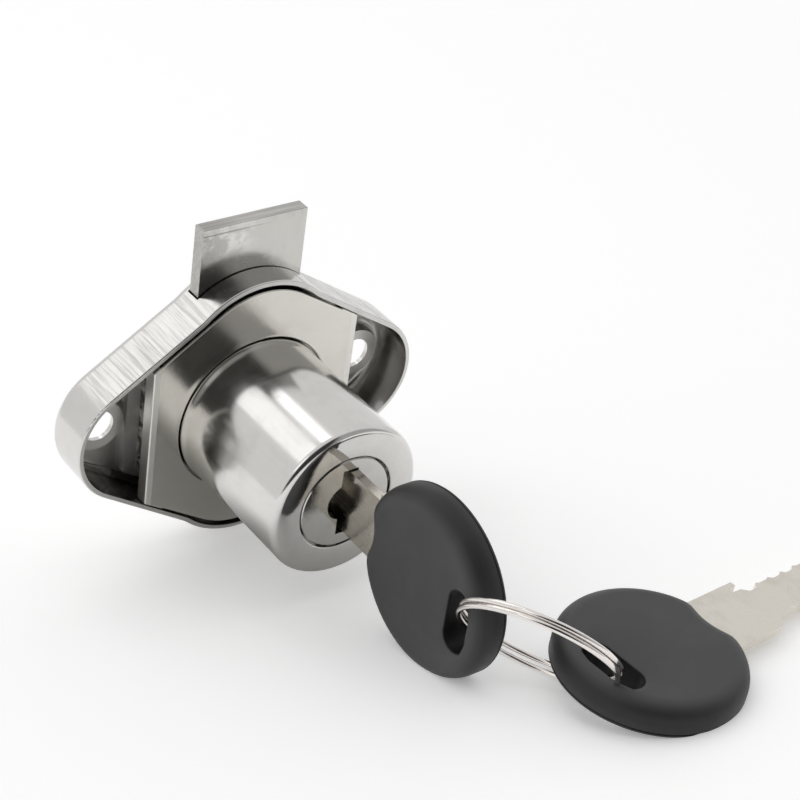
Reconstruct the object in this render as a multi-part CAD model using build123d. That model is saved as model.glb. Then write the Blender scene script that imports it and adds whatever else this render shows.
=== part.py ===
from build123d import *
import math
import os

# A drawer lock: a shallow pressed case holds a cast body and a sliding bolt, and a round barrel
# stands out of it through the drawer front. Two keys hang on one split ring, one of them in the lock.
#
# Frame: +Z is the way the bolt leaves the case, +Y goes from the key side into the drawer, X across.
# The origin is on the barrel's axis, in the plane of the case's rim. Lengths are millimetres.

# Case, a drawn cup open towards the key side
case_depth = 7.0
case_x = -0.2
case_z = 0.55
sheet = 0.6
bend_r = 1.6
lip_r = 0.2
case_end_x = 15.26
case_end_r = 8.19
flank_angle = 33.0
crest_r = 11.45
crest_swell = 0.24
crest_blend_r = 5.0

# Countersunk screw seats, pressed forward out of the case's floor
screw_half_spacing = 18.3
screw_hole_r = 2.0
screw_head_r = 4.0
screw_land = 0.6
seat_rise = 1.6
seat_top_r = 3.3
seat_foot_r = 4.3

# Barrel shell, a drawn cap over the body's neck
shell_r = 10.0
shell_wall = 0.5
barrel_length = 19.6
shell_edge_r = 0.6
face_hole_gap = 0.25
collar_step = 0.2
rim_step = 1.0

# Front plate
plate_t = 1.7
plate_half = 14.15
plate_hole_gap = 0.15
plate_wall_gap = 0.1
plate_near_gap = 0.25
plate_far_gap = 0.6
plate_lug_x = 11.6
plate_crest_r = 10.2
plate_edge_r = 0.2

# Cast body
neck_gap = 0.05
rim_gap = 0.1
block_wall = 1.0
block_arc_r = 14.9
shell_face_gap = 0.05

# Base plate, between the body and the case's floor
base_t = 1.0
base_bend_gap = 0.15
base_crest_r = 9.0

# Bolt
bolt_w = 14.16
bolt_t = 1.8
bolt_top = 24.9
bolt_end_gap = 0.5
bolt_side_gap = 0.07
bolt_front_gap = 0.06
bolt_back_gap = 0.12
case_slot_gap = 0.17
bolt_edge_r = 0.12

# Plug
plug_r = 5.6
plug_head_r = 6.0
plug_head_t = 1.9
plug_recess = 0.05
running_gap = 0.05
tail_r = 2.0
tail_flat = 1.55
tail_groove_depth = 0.5

# Keyway, as the plug carries it
key_x = 0.6
key_z = 0.1
mouth_depth = 2.75
mouth_half_h = 4.5
mouth_side = 1.45
keyway_half_w = 0.65
keyway_half_h = 3.3
keyway_end_gap = 0.25
mouth_relief_r = 2.45

# Wafers and their springs
wafer_count = 6
wafer_pitch = 2.3
wafer_first = 4.15
wafer_t = 1.0
wafer_half_w = 2.6
wafer_gap = 0.05
wafer_wing_x = 1.2
wafer_wing_z = -1.0
window_gap = 0.1
spring_r = 0.5
spring_bore_r = 0.28
spring_seat_z = -4.0

# Drive cam
cam_bolt_gap = 0.18
cam_t = 2.1
cam_r = 6.8
cam_rim = 0.9
cam_gap = 0.1
pin_offset = 4.0
pin_r = 1.2
pin_bolt_gap = 0.06
pin_side_gap = 0.2
clip_t = 0.4
clip_r = 2.6
clip_recess_depth = 0.9
lug_angle = 20.0
stop_gap_angle = 1.5

# Rivets
rivet_r = 1.2
rivet_rim_gap = 0.22
rivet_angle = 33.2
rivet_head_r = 2.1
rivet_head_t = 0.7
rivet_blind = 0.6

# Keys: a runs out of the lock, b across the blade, both from the bow's centre
bow_r = 11.07
bow_t = 4.2
bow_edge_r = 1.6
bow_floor_t = 0.85
waist_r = 10.3
waist_a = -18.8
waist_b = 0.84
bow_slot_a = 6.95
bow_slot_b = 0.2
bow_slot_w = 3.9
bow_slot_l = 8.2
bow_slot_lead = 0.7
blade_t = 1.15
neck_half_h = 4.3
neck_end = -17.85
neck_taper = 1.85
blade_half_h = 2.79
blade_end_gap = 0.87
blade_tip_half = 0.7
tip_taper = 2.0
mark_reach = 2.1
mark_half_w = 0.55
mark_depth = 0.45
stop_a = -18.65
stop_w = 0.8
stop_depth = 1.35
stop_draft = 0.1
tooth_b = -2.7
cut_b = (-2.00, -2.50, -2.28, -2.20, -2.45, -2.05)
cut_flat = 1.2
tang_end = 3.0
tang_cover = 1.5
tang_half_h = 5.2
tang_gap = 0.04
bow_to_face = 15.97

# Second key and ring, placed from the first key's bow
key_2_offset = (16.17, -19.09, -2.84)
key_2_yaw = 5.7
key_2_rise = 3.8
ring_offset = (3.00, -15.57, 2.04)
ring_normal = (0.705, 0.415, 0.575)
ring_mid_r = 9.6
wire_r = 0.40
wire_pitch = 0.83
ring_jog = 15.0
ring_jog_at = 232.0

# Depths that follow from the sizes above
floor_y = case_depth - sheet
base_y = floor_y - base_t
bolt_back = base_y - bolt_back_gap
bolt_front = bolt_back - bolt_t
channel_y = bolt_front - bolt_front_gap
cam_back = bolt_front - cam_bolt_gap
cam_front = cam_back - cam_t
face_y = -barrel_length
body_y = face_y + shell_wall + shell_face_gap
head_y = face_y + plug_recess
plug_y = head_y + plug_head_t
plug_back = cam_front - running_gap
chamber_y = cam_front - cam_gap
mouth_y = face_y + mouth_depth
bow_y = face_y - bow_to_face
blade_tip = bow_y - (cam_front - blade_end_gap)
keyway_end = bow_y - blade_tip + keyway_end_gap
first_wafer_y = face_y + wafer_first

# Radii and widths that follow
face_hole_r = plug_head_r + face_hole_gap
collar_r = shell_r + collar_step
rim_r = shell_r + rim_step
plate_hole_r = collar_r + plate_hole_gap
neck_r = shell_r - shell_wall - neck_gap
rivet_ring_r = rim_r + rivet_r + rivet_rim_gap
rivet_x = rivet_ring_r * math.cos(math.radians(rivet_angle))
rivet_z = rivet_ring_r * math.sin(math.radians(rivet_angle))
block_half = rivet_x + rivet_r + block_wall
bolt_throw = 2 * pin_offset
tang_root = waist_a + waist_r - tang_cover


def slab(sketch, y0, y1):
    """Sketch in X and Z, given thickness from depth y0 back to depth y1."""
    plane = Plane(origin=(0, y1, 0), x_dir=(1, 0, 0), z_dir=(0, -1, 0))
    return extrude(plane * sketch, amount=y1 - y0)


def rod(radius, y0, y1, x=0.0, z=0.0):
    """Round bar along Y."""
    return slab(Pos(x, z) * Circle(radius), y0, y1)


def block(x0, x1, y0, y1, z0, z1):
    """Square-edged block between its limits on the three axes."""
    size = (x1 - x0, y1 - y0, z1 - z0)
    middle = ((x0 + x1) / 2, (y0 + y1) / 2, (z0 + z1) / 2)
    return Pos(*middle) * Box(*size)


def turned(points):
    """Solid of revolution about the Y axis from points of radius and depth."""
    return revolve(make_face(Polyline(*points, close=True)), axis=Axis.Y)


def sector(r_in, r_out, start, end):
    """Part of a ring between two angles, counted from X towards Z."""
    spread = end - start
    outer = CenterArc((0, 0), r_out, start, spread)
    inner = CenterArc((0, 0), r_in, start, spread)
    sides = [Line(inner @ 0, outer @ 0), Line(inner @ 1, outer @ 1)]
    return make_face([outer, inner] + sides)


def edges_at(shape, y):
    """Edges of a shape that lie in the plane at depth y."""
    return shape.edges().filter_by_position(Axis.Y, y - 0.01, y + 0.01)


def flank_z(x, distance):
    """Height of a flank line at x, for the line's distance from the origin."""
    slope = math.radians(flank_angle)
    return (distance - x * math.sin(slope)) / math.cos(slope)


def quarter(sx, sz, points):
    """Points turned over into one of the four quarters round the case's middle."""
    return [(case_x + sx * x, case_z + sz * z) for x, z in points]


def case_flank():
    """Distance of the flanks' outer faces from the case's middle."""
    return case_end_x * math.sin(math.radians(flank_angle)) + case_end_r


def crest_middle():
    """Height of the crest's centre above the case's middle, for an arc that swells past both flanks."""
    return (case_flank() - crest_r + crest_swell) / math.cos(math.radians(flank_angle))


def crest_shoulder():
    """Where the crest's arc comes back to the flank, in the case's upper right quarter."""
    angle = math.radians(flank_angle) + math.acos(1 - crest_swell / crest_r)
    return crest_r * math.sin(angle), crest_middle() + crest_r * math.cos(angle)


def case_outline():
    """Outer outline of the case: round ends, straight flanks, and a crest that swells a little past them."""
    slope = math.radians(flank_angle)
    shoulder = crest_shoulder()
    touch = (case_end_x + case_end_r * math.sin(slope), case_end_r * math.cos(slope))
    lines = []
    for sx in (1, -1):
        for sz in (1, -1):
            lines.append(Line(*quarter(sx, sz, [shoulder, touch])))
        up, end, down = quarter(sx, 1, [touch, (case_end_x + case_end_r, 0), (touch[0], -touch[1])])
        lines.append(ThreePointArc(up, end, down))
    for sz in (1, -1):
        x, z = shoulder
        lines.append(ThreePointArc(*quarter(1, sz, [(-x, z), (0, crest_middle() + crest_r), (x, z)])))
    outline = make_face(lines)
    shoulders = outline.vertices().filter_by(lambda v: abs(abs(v.X - case_x) - shoulder[0]) < 0.01)
    return fillet(shoulders, crest_blend_r)


def inner_flank():
    """Distance of the flanks' inner faces from the case's middle."""
    return case_flank() - sheet


def gabled_face(half, crest, flanks, lug_x=None, lug_flank=None):
    """Plate between the flanks: straight ends at half, ridges rounded to the crest's radius.

    flanks are the distances on the upper right and lower left, and on the other two. With lug_x, the first
    two step out to lug_flank between lug_x and the end.
    """
    points = []
    for sx, sz in ((1, 1), (1, -1), (-1, -1), (-1, 1)):
        flank = flanks[0] if sx * sz > 0 else flanks[1]
        side = [(half, flank_z(half, flank))]
        if lug_x and sx * sz > 0:
            side = [(lug_x, flank_z(lug_x, flank)), (lug_x, flank_z(lug_x, lug_flank)),
                    (half, flank_z(half, lug_flank))]
        ridge = [(0, flank_z(0, sum(flanks) / 2))] if sx * sz > 0 else []
        run = quarter(sx, sz, ridge + side)
        points += run if sx * sz > 0 else run[::-1]
    face = make_face(Polyline(*points, close=True))
    return fillet(face.vertices().filter_by(lambda v: abs(v.X - case_x) < 0.01), crest)


def make_case():
    """Drawn cup with the bolt's slot, the two screw seats and the rivet holes."""
    outline = case_outline()
    cup = slab(outline, 0, case_depth)
    cup = fillet(edges_at(cup, case_depth), bend_r)
    cup = fillet(edges_at(cup, 0), lip_r)
    hollow = slab(offset(outline, -sheet), -1, floor_y)
    cup -= fillet(edges_at(hollow, floor_y), bend_r - sheet)
    seat_y = floor_y - seat_rise
    sink_y = seat_y + screw_land
    for side in (1, -1):
        place = Pos(case_x + side * screw_half_spacing, 0, case_z)
        seat = [(0, seat_y), (seat_top_r, seat_y), (seat_foot_r, floor_y), (0, floor_y)]
        sink = [(0, seat_y - 1), (screw_hole_r, seat_y - 1), (screw_hole_r, sink_y),
                (screw_head_r, case_depth), (screw_head_r, case_depth + 1), (0, case_depth + 1)]
        cup = cup + place * turned(seat) - place * turned(sink)
    half = bolt_w / 2 + case_slot_gap
    top = case_z + crest_middle() + crest_r
    cup -= block(-half, half, bolt_front - case_slot_gap, bolt_back + case_slot_gap, 0, top + 1)
    return cup - rivet_holes(0)


def rivet_places():
    """The four rivets' places."""
    return [(sx * rivet_x, sz * rivet_z) for sx in (1, -1) for sz in (1, -1)]


def rivet_holes(y0):
    """Bars that cut the rivets' holes from depth y0 to behind the case."""
    holes = Part()
    for x, z in rivet_places():
        holes += rod(rivet_r, y0, case_depth + 1, x, z)
    return holes


def make_rivets():
    """Rivets that clamp plate, body, base plate and case together, heads behind the case."""
    rivets = []
    for x, z in rivet_places():
        head = [(0, case_depth), (rivet_head_r, case_depth),
                (rivet_head_r * 0.9, case_depth + rivet_head_t * 0.6),
                (rivet_head_r * 0.6, case_depth + rivet_head_t), (0, case_depth + rivet_head_t)]
        rivets.append(Pos(x, 0, z) * turned(head) + rod(rivet_r, rivet_blind, case_depth, x, z))
    return Compound([piece.solid() for piece in rivets])


def make_front_plate():
    """Plate in the case's mouth, relieved along the flanks, with two opposite corners out to the wall."""
    flanks = (inner_flank() - plate_near_gap, inner_flank() - plate_far_gap)
    outline = gabled_face(plate_half, plate_crest_r, flanks, plate_lug_x, inner_flank() - plate_wall_gap)
    plate = slab(outline - Circle(plate_hole_r), 0, plate_t)
    plate = fillet(edges_at(plate, 0), plate_edge_r)
    return plate - rivet_holes(rivet_blind)


def make_base_plate():
    """Flat plate on the case's floor that closes the bolt's channel."""
    flank = inner_flank() - (bend_r - sheet) - base_bend_gap
    outline = gabled_face(plate_half, base_crest_r, (flank, flank))
    return slab(outline, base_y, floor_y) - rivet_holes(0)


def make_shell():
    """Barrel shell: flat face, rounded front edge, straight wall, collar in the plate, clamped rim."""
    inner = shell_r - shell_wall
    face = face_y
    profile = [
        Line((face_hole_r, face), (shell_r - shell_edge_r, face)),
        RadiusArc((shell_r - shell_edge_r, face), (shell_r, face + shell_edge_r), -shell_edge_r),
        Polyline(
            (shell_r, face + shell_edge_r),
            (shell_r, 0),
            (collar_r, 0),
            (collar_r, plate_t),
            (rim_r, plate_t),
            (rim_r, plate_t + shell_wall),
            (inner, plate_t + shell_wall),
            (inner, face + shell_wall),
            (face_hole_r, face + shell_wall),
            (face_hole_r, face),
        ),
    ]
    return revolve(make_face(profile), axis=Axis.Y)


def make_housing():
    """Cast body: neck inside the shell, block behind the plate, plug bore, cam chamber, bolt channel."""
    body = rod(neck_r, body_y, base_y)
    body += slab(Rectangle(2 * block_half, 4 * block_half) & Circle(block_arc_r), plate_t, base_y)
    body -= rod(rim_r + rim_gap, plate_t, plate_t + shell_wall) - rod(neck_r, plate_t, plate_t + shell_wall)
    body -= rod(plug_r + running_gap, body_y - 1, chamber_y + 1)
    body -= rod(plug_head_r + running_gap, body_y - 1, plug_y + running_gap)
    body -= rod(cam_r + cam_gap, chamber_y, base_y + 1)
    half = bolt_w / 2 + bolt_side_gap
    body -= block(-half, half, channel_y, base_y + 1, -block_arc_r - 1, block_arc_r + 1)
    lug_in = cam_r - cam_rim + cam_gap
    lug = sector(lug_in, cam_r + 0.4, -90 - lug_angle / 2, -90 + lug_angle / 2)
    body += slab(lug, chamber_y, cam_back)
    return body - rivet_holes(0)


def wafer_depths():
    """Middle depth of each wafer."""
    return [first_wafer_y + i * wafer_pitch for i in range(wafer_count)]


def wafer_sketch(grow):
    """Wafer seen along the barrel, cut back on one side above its spring; grow widens it to its slot."""
    reach = plug_r + grow
    half = wafer_half_w + grow
    wing = wafer_wing_x + grow
    stem = Pos((half - wing) / 2, 0) * Rectangle(half + wing, 3 * reach)
    side = Pos(-(half + wing) / 2, 1.5 * reach + wafer_wing_z) * Rectangle(half - wing, 3 * reach)
    return (stem + side) & Circle(reach)


def make_wafer(y):
    """One wafer with its window, flush with the plug."""
    window = Pos(key_x, key_z) * Rectangle(2 * (keyway_half_w + wafer_gap), 2 * (blade_half_h + window_gap))
    sketch = wafer_sketch(-wafer_gap) - window
    return slab(sketch, y - wafer_t / 2, y + wafer_t / 2)


def spring_x():
    """Middle of the spring pocket beside the wafer's stem."""
    return -(wafer_half_w + wafer_wing_x) / 2


def make_plug():
    """Plug: head, body, tail, keyway with its round relief, wafer slots and spring pockets."""
    plug = rod(plug_head_r, head_y, plug_y)
    plug = chamfer(edges_at(plug, head_y), 0.12)
    plug += rod(plug_r, plug_y, plug_back)
    tail_end = cam_back - cam_gap
    tail = rod(tail_r, plug_back, tail_end)
    tail &= block(-tail_flat, tail_flat, plug_back, tail_end, -2 * tail_r, 2 * tail_r)
    groove_y = cam_back - clip_recess_depth + 0.05
    groove = rod(2 * tail_r, groove_y, groove_y + clip_t + 0.1)
    groove -= rod(tail_r - tail_groove_depth, groove_y, groove_y + clip_t + 0.1)
    plug += tail - groove

    mouth_right = key_x + keyway_half_w
    plug -= block(mouth_right - mouth_side - keyway_half_w, mouth_right, face_y - 1, mouth_y,
                  key_z - mouth_half_h, key_z + mouth_half_h)
    plug -= rod(mouth_relief_r, face_y - 1, mouth_y, 0, key_z) & block(
        -mouth_relief_r, mouth_right, face_y - 1, mouth_y, -plug_r, plug_r)
    left, right = key_x - keyway_half_w, key_x + keyway_half_w
    plug -= block(left, right, mouth_y - 1, keyway_end, key_z - keyway_half_h, key_z + keyway_half_h)
    lead = mouth_half_h - keyway_half_h
    wedge = Polyline((mouth_y, key_z + mouth_half_h), (mouth_y + lead, key_z + keyway_half_h),
                     (mouth_y, key_z + keyway_half_h), close=True)
    side_view = Plane(origin=(left, 0, 0), x_dir=(0, 1, 0), z_dir=(1, 0, 0))
    plug -= extrude(side_view * make_face(wedge), amount=right - left)

    slot = wafer_sketch(wafer_gap)
    pocket_half = (wafer_half_w - wafer_wing_x) / 2 + wafer_gap
    pocket = Pos(spring_x(), (wafer_wing_z + spring_seat_z) / 2)
    pocket *= Rectangle(2 * pocket_half, wafer_wing_z - spring_seat_z + 0.2)
    half_t = wafer_t / 2 + wafer_gap
    for y in wafer_depths():
        plug -= slab(slot, y - half_t, y + half_t)
        plug -= slab(pocket, y - half_t, y + half_t)
    return plug


def make_springs():
    """One spring under each wafer's wing, drawn as the tube that it fills."""
    length = wafer_wing_z - spring_seat_z - 0.2
    springs = []
    for y in wafer_depths():
        place = Pos(spring_x(), y, spring_seat_z + length / 2 + 0.05)
        springs.append(place * (Cylinder(spring_r, length) - Cylinder(spring_bore_r, length)))
    return Compound([spring.solid() for spring in springs])


def make_cam():
    """Drive cam: disc on the plug's tail, eccentric pin behind it, rim cut away between its stops."""
    cam = rod(cam_r, cam_front, cam_back)
    reach = 90 + lug_angle / 2 + stop_gap_angle
    cam -= slab(sector(cam_r - cam_rim, cam_r + 1, -reach, reach), cam_front - 1, cam_back + 1)
    hole = rod(tail_r + running_gap, cam_front - 1, cam_back + 1)
    flat = tail_flat + running_gap
    hole &= block(-flat, flat, cam_front - 1, cam_back + 1, -2 * tail_r, 2 * tail_r)
    cam -= hole
    cam -= rod(clip_r + running_gap, cam_back - clip_recess_depth, cam_back + 1)
    pin_end = base_y - 2 * bolt_back_gap
    return cam + rod(pin_r, cam_back - 0.5, pin_end, 0, pin_offset)


def make_clip():
    """Open retaining ring in the tail's groove."""
    clip_y = cam_back - clip_recess_depth + 0.1
    return slab(sector(tail_r - tail_groove_depth + 0.03, clip_r, -60, 240), clip_y, clip_y + clip_t)


def pin_stray():
    """Most that the turning pin's height departs from a steady travel between its two ends."""
    turn = math.asin(2 / math.pi)
    return abs(pin_offset * math.cos(turn) - pin_offset * (1 - 2 * turn / math.pi))


def make_bolt():
    """Bolt: flat bar with the cross slot that the cam's pin works in."""
    corner_x = bolt_w / 2 + abs(case_x)
    bottom = case_z + bolt_throw + bolt_end_gap - flank_z(corner_x, inner_flank())
    bolt = slab(Pos(0, (bolt_top + bottom) / 2) * Rectangle(bolt_w, bolt_top - bottom), bolt_front, bolt_back)
    bolt = fillet(bolt.edges().group_by(Axis.Z)[-1], bolt_edge_r)
    left = -pin_r - pin_side_gap
    right = pin_offset + pin_r + pin_side_gap
    height = 2 * (pin_r + pin_stray() + pin_bolt_gap)
    return bolt - block(left, right, bolt_front - 1, bolt_back + 1,
                        pin_offset - height / 2, pin_offset + height / 2)


def blade_outline():
    """Metal of a key: tang inside the bow, neck, and the blade with its cuts along the lower edge."""
    foot = neck_end - neck_taper
    mark = foot - mark_reach
    points = [
        (tang_end, tang_half_h),
        (tang_root, tang_half_h),
        (tang_root, neck_half_h),
        (neck_end, neck_half_h),
        (foot, blade_half_h),
        (mark + mark_half_w, blade_half_h),
        (mark, blade_half_h - mark_depth),
        (mark - mark_half_w, blade_half_h),
        (blade_tip + tip_taper, blade_half_h),
        (blade_tip, blade_tip_half),
        (blade_tip, -blade_tip_half),
    ]
    places = [first_wafer_y - bow_y + i * wafer_pitch for i in range(wafer_count)]
    half = cut_flat / 2
    for i in reversed(range(wafer_count)):
        a = -places[i]
        points += [(a - half, cut_b[i]), (a + half, cut_b[i])]
        if i:
            points.append((a + wafer_pitch / 2, tooth_b))
    points += [
        (stop_a, -blade_half_h),
        (stop_a + stop_depth, -blade_half_h - stop_draft),
        (stop_a + stop_depth, -blade_half_h - stop_w + stop_draft),
        (stop_a, -blade_half_h - stop_w),
        (stop_a, -neck_half_h),
        (tang_root, -neck_half_h),
        (tang_root, -tang_half_h),
        (tang_end, -tang_half_h),
    ]
    return make_face(Polyline(*points, close=True))


def tang_pocket(grow):
    """Outline of the space for the tang within the bow, larger than the tang by grow."""
    length = tang_end - tang_root
    tang = Pos(tang_end - length / 2, 0) * Rectangle(length + 2 * grow, 2 * (tang_half_h + grow))
    outward = abs(waist_a) - waist_r
    neck = Pos(-outward, 0) * Rectangle(2 * (outward - 1), 2 * (neck_half_h + grow))
    return tang + neck


def make_key():
    """One key about its bow's centre: a along X, b along Y, the visible face towards Z."""
    blade = extrude(blade_outline(), amount=blade_t / 2, both=True)

    bow = extrude(Circle(bow_r), amount=bow_t / 2, both=True)
    bow = fillet(bow.edges().filter_by(GeomType.CIRCLE), bow_edge_r)
    bow -= Pos(waist_a, waist_b) * Cylinder(waist_r, 2 * bow_t)
    slot = Pos(bow_slot_a, bow_slot_b) * Rot(0, 0, 90) * SlotOverall(bow_slot_l, bow_slot_w)
    opening = extrude(slot, amount=bow_t, both=True)
    lead = bow_slot_lead
    for way in (1, -1):
        face = Pos(0, 0, way * (bow_t / 2 - lead)) * slot
        opening += extrude(face, amount=way * (lead + 0.001), taper=-45)
    bow -= opening

    parting = -bow_t / 2 + bow_floor_t
    recess = extrude(Pos(0, 0, parting) * tang_pocket(tang_gap), amount=blade_t / 2 + tang_gap - parting)
    below = Pos(0, 0, parting - bow_t) * Box(4 * bow_r, 4 * bow_r, 2 * bow_t)
    cover = bow - below - recess
    pad = extrude(Pos(0, 0, parting) * tang_pocket(0), amount=-blade_t / 2 - tang_gap - parting)
    base = (bow & below) + (bow & pad)
    return blade, cover, base


def make_ring():
    """Split ring: two flat turns side by side, joined by one jog."""
    half = wire_pitch / 2
    centre = Vector(key_x, bow_y, key_z) + Vector(*ring_offset)
    plane = Plane(origin=centre, x_dir=Vector(0.3, 0.2, 1.0).cross(Vector(*ring_normal)), z_dir=ring_normal)
    turn = 360 - 2 * ring_jog
    section = Plane.XZ * (Pos(ring_mid_r, 0) * Circle(wire_r))
    arc = revolve(section, axis=Axis.Z, revolution_arc=turn)
    lift = math.atan2(half, ring_mid_r * math.sin(math.radians(ring_jog)))
    jog = revolve(section, axis=Axis.Z, revolution_arc=2 * ring_jog)
    ring = Pos(0, 0, half) * Rot(0, 0, ring_jog) * arc
    ring += Pos(0, 0, -half) * Rot(0, 0, ring_jog) * arc
    ring += Rot(math.degrees(lift), 0, 0) * Rot(0, 0, -ring_jog) * jog
    for way in (1, -1):
        angle = math.radians(way * ring_jog)
        ring += Pos(ring_mid_r * math.cos(angle), ring_mid_r * math.sin(angle), way * half) * Sphere(wire_r)
    return plane.location * (Rot(0, 0, ring_jog_at) * ring)


def key_2_place():
    """Where the second key lies: on its face, turned and raised a little at the bow."""
    yaw, rise = math.radians(key_2_yaw), math.radians(key_2_rise)
    out = Vector(-math.cos(yaw) * math.cos(rise), -math.sin(yaw) * math.cos(rise), math.sin(rise))
    across = Vector(math.sin(yaw), -math.cos(yaw), 0)
    origin = Vector(key_x, bow_y, key_z) + Vector(*key_2_offset)
    return Plane(origin=origin, x_dir=out, z_dir=out.cross(across)).location


def main():
    """Build every piece and write one file for each."""
    os.makedirs("parts", exist_ok=True)
    pieces = {
        "back_case": make_case(),
        "base_plate": make_base_plate(),
        "housing": make_housing(),
        "front_plate": make_front_plate(),
        "barrel_shell": make_shell(),
        "case_rivets": make_rivets(),
        "plug": make_plug(),
        "drive_cam": make_cam(),
        "cam_clip": make_clip(),
        "wafer_springs": make_springs(),
        "bolt": make_bolt(),
        "split_ring": make_ring(),
    }
    for number, y in enumerate(wafer_depths(), 1):
        pieces[f"wafer_{number}"] = make_wafer(y)
    key_1_place = Plane(origin=(key_x, bow_y, key_z), x_dir=(0, -1, 0), z_dir=(-1, 0, 0)).location
    for name, place in (("key_1", key_1_place), ("key_2", key_2_place())):
        for part, shape in zip(("blade", "bow_cover", "bow_base"), make_key()):
            pieces[f"{name}_{part}"] = place * shape
    for name, shape in pieces.items():
        export_step(shape, f"parts/{name}.step")


main()
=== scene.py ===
"""A drawer lock with its key in the plug and a second key hanging from the same split ring.

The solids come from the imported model. This script gives every one of them its finish, adds the forms
that are finer than the solids carry, and sets the plain studio and the camera. Lengths are metres.
"""

import logging
import math
from dataclasses import dataclass
from enum import Enum
from typing import Any, Dict, List, Optional, Sequence, Tuple, Union

import bpy
import numpy as np
from mathutils import Matrix, Vector


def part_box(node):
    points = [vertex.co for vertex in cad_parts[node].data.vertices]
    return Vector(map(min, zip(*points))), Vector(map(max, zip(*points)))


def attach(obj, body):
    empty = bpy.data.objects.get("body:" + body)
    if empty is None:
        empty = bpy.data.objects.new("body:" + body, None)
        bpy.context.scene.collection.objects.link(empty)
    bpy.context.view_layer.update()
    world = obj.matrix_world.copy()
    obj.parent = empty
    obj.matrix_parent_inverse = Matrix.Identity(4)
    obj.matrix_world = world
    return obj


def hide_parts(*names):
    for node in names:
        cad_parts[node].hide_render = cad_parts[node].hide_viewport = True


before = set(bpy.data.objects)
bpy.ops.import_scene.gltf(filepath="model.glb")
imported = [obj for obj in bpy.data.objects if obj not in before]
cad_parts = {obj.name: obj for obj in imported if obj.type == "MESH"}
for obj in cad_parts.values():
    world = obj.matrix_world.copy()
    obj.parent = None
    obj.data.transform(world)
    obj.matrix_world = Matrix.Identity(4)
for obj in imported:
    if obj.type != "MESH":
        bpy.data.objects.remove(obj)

MM = 0.001
MICRON = 0.000001
FULL_TURN = 2 * math.pi
NEAR_ZERO = 1e-6
WAFERS = 6
LOG = logging.getLogger("drawer_lock")

Colour = Tuple[float, float, float]
Pair = Tuple[float, float]
Triple = Tuple[float, float, float]
Socket = bpy.types.NodeSocket
Number = Union[float, bpy.types.NodeSocket]

TOWARDS_FRONT: Triple = (0.0, -1.0, 0.0)
TOWARDS_RIGHT: Triple = (1.0, 0.0, 0.0)
UPWARDS: Triple = (0.0, 0.0, 1.0)
FLOOR_UP: Triple = (0.0, 0.213, 0.977)


class Finish(Enum):
    """The finishes, named as the record's material slots."""

    CASE = "case_steel"
    INNER_PLATE = "plate_steel"
    CASTING = "cast_zinc"
    FRONT_PLATE = "plate_nickel"
    SHELL = "shell_steel"
    RIVET = "rivet_zinc"
    PLUG = "plug_nickel"
    SPRING = "spring_steel"
    BOLT = "bolt_steel"
    RING = "ring_steel"
    KEY = "key_nickel"
    BOW = "bow_plastic"
    WAFER = "wafer_brass"


class Along(Enum):
    """Direction that a grain runs in, in the lock's frame."""

    X = (0.04, 1.0, 1.0)
    Y = (1.0, 0.04, 1.0)
    Z = (1.0, 1.0, 0.04)
    EVERY_WAY = (1.0, 1.0, 1.0)


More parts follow.
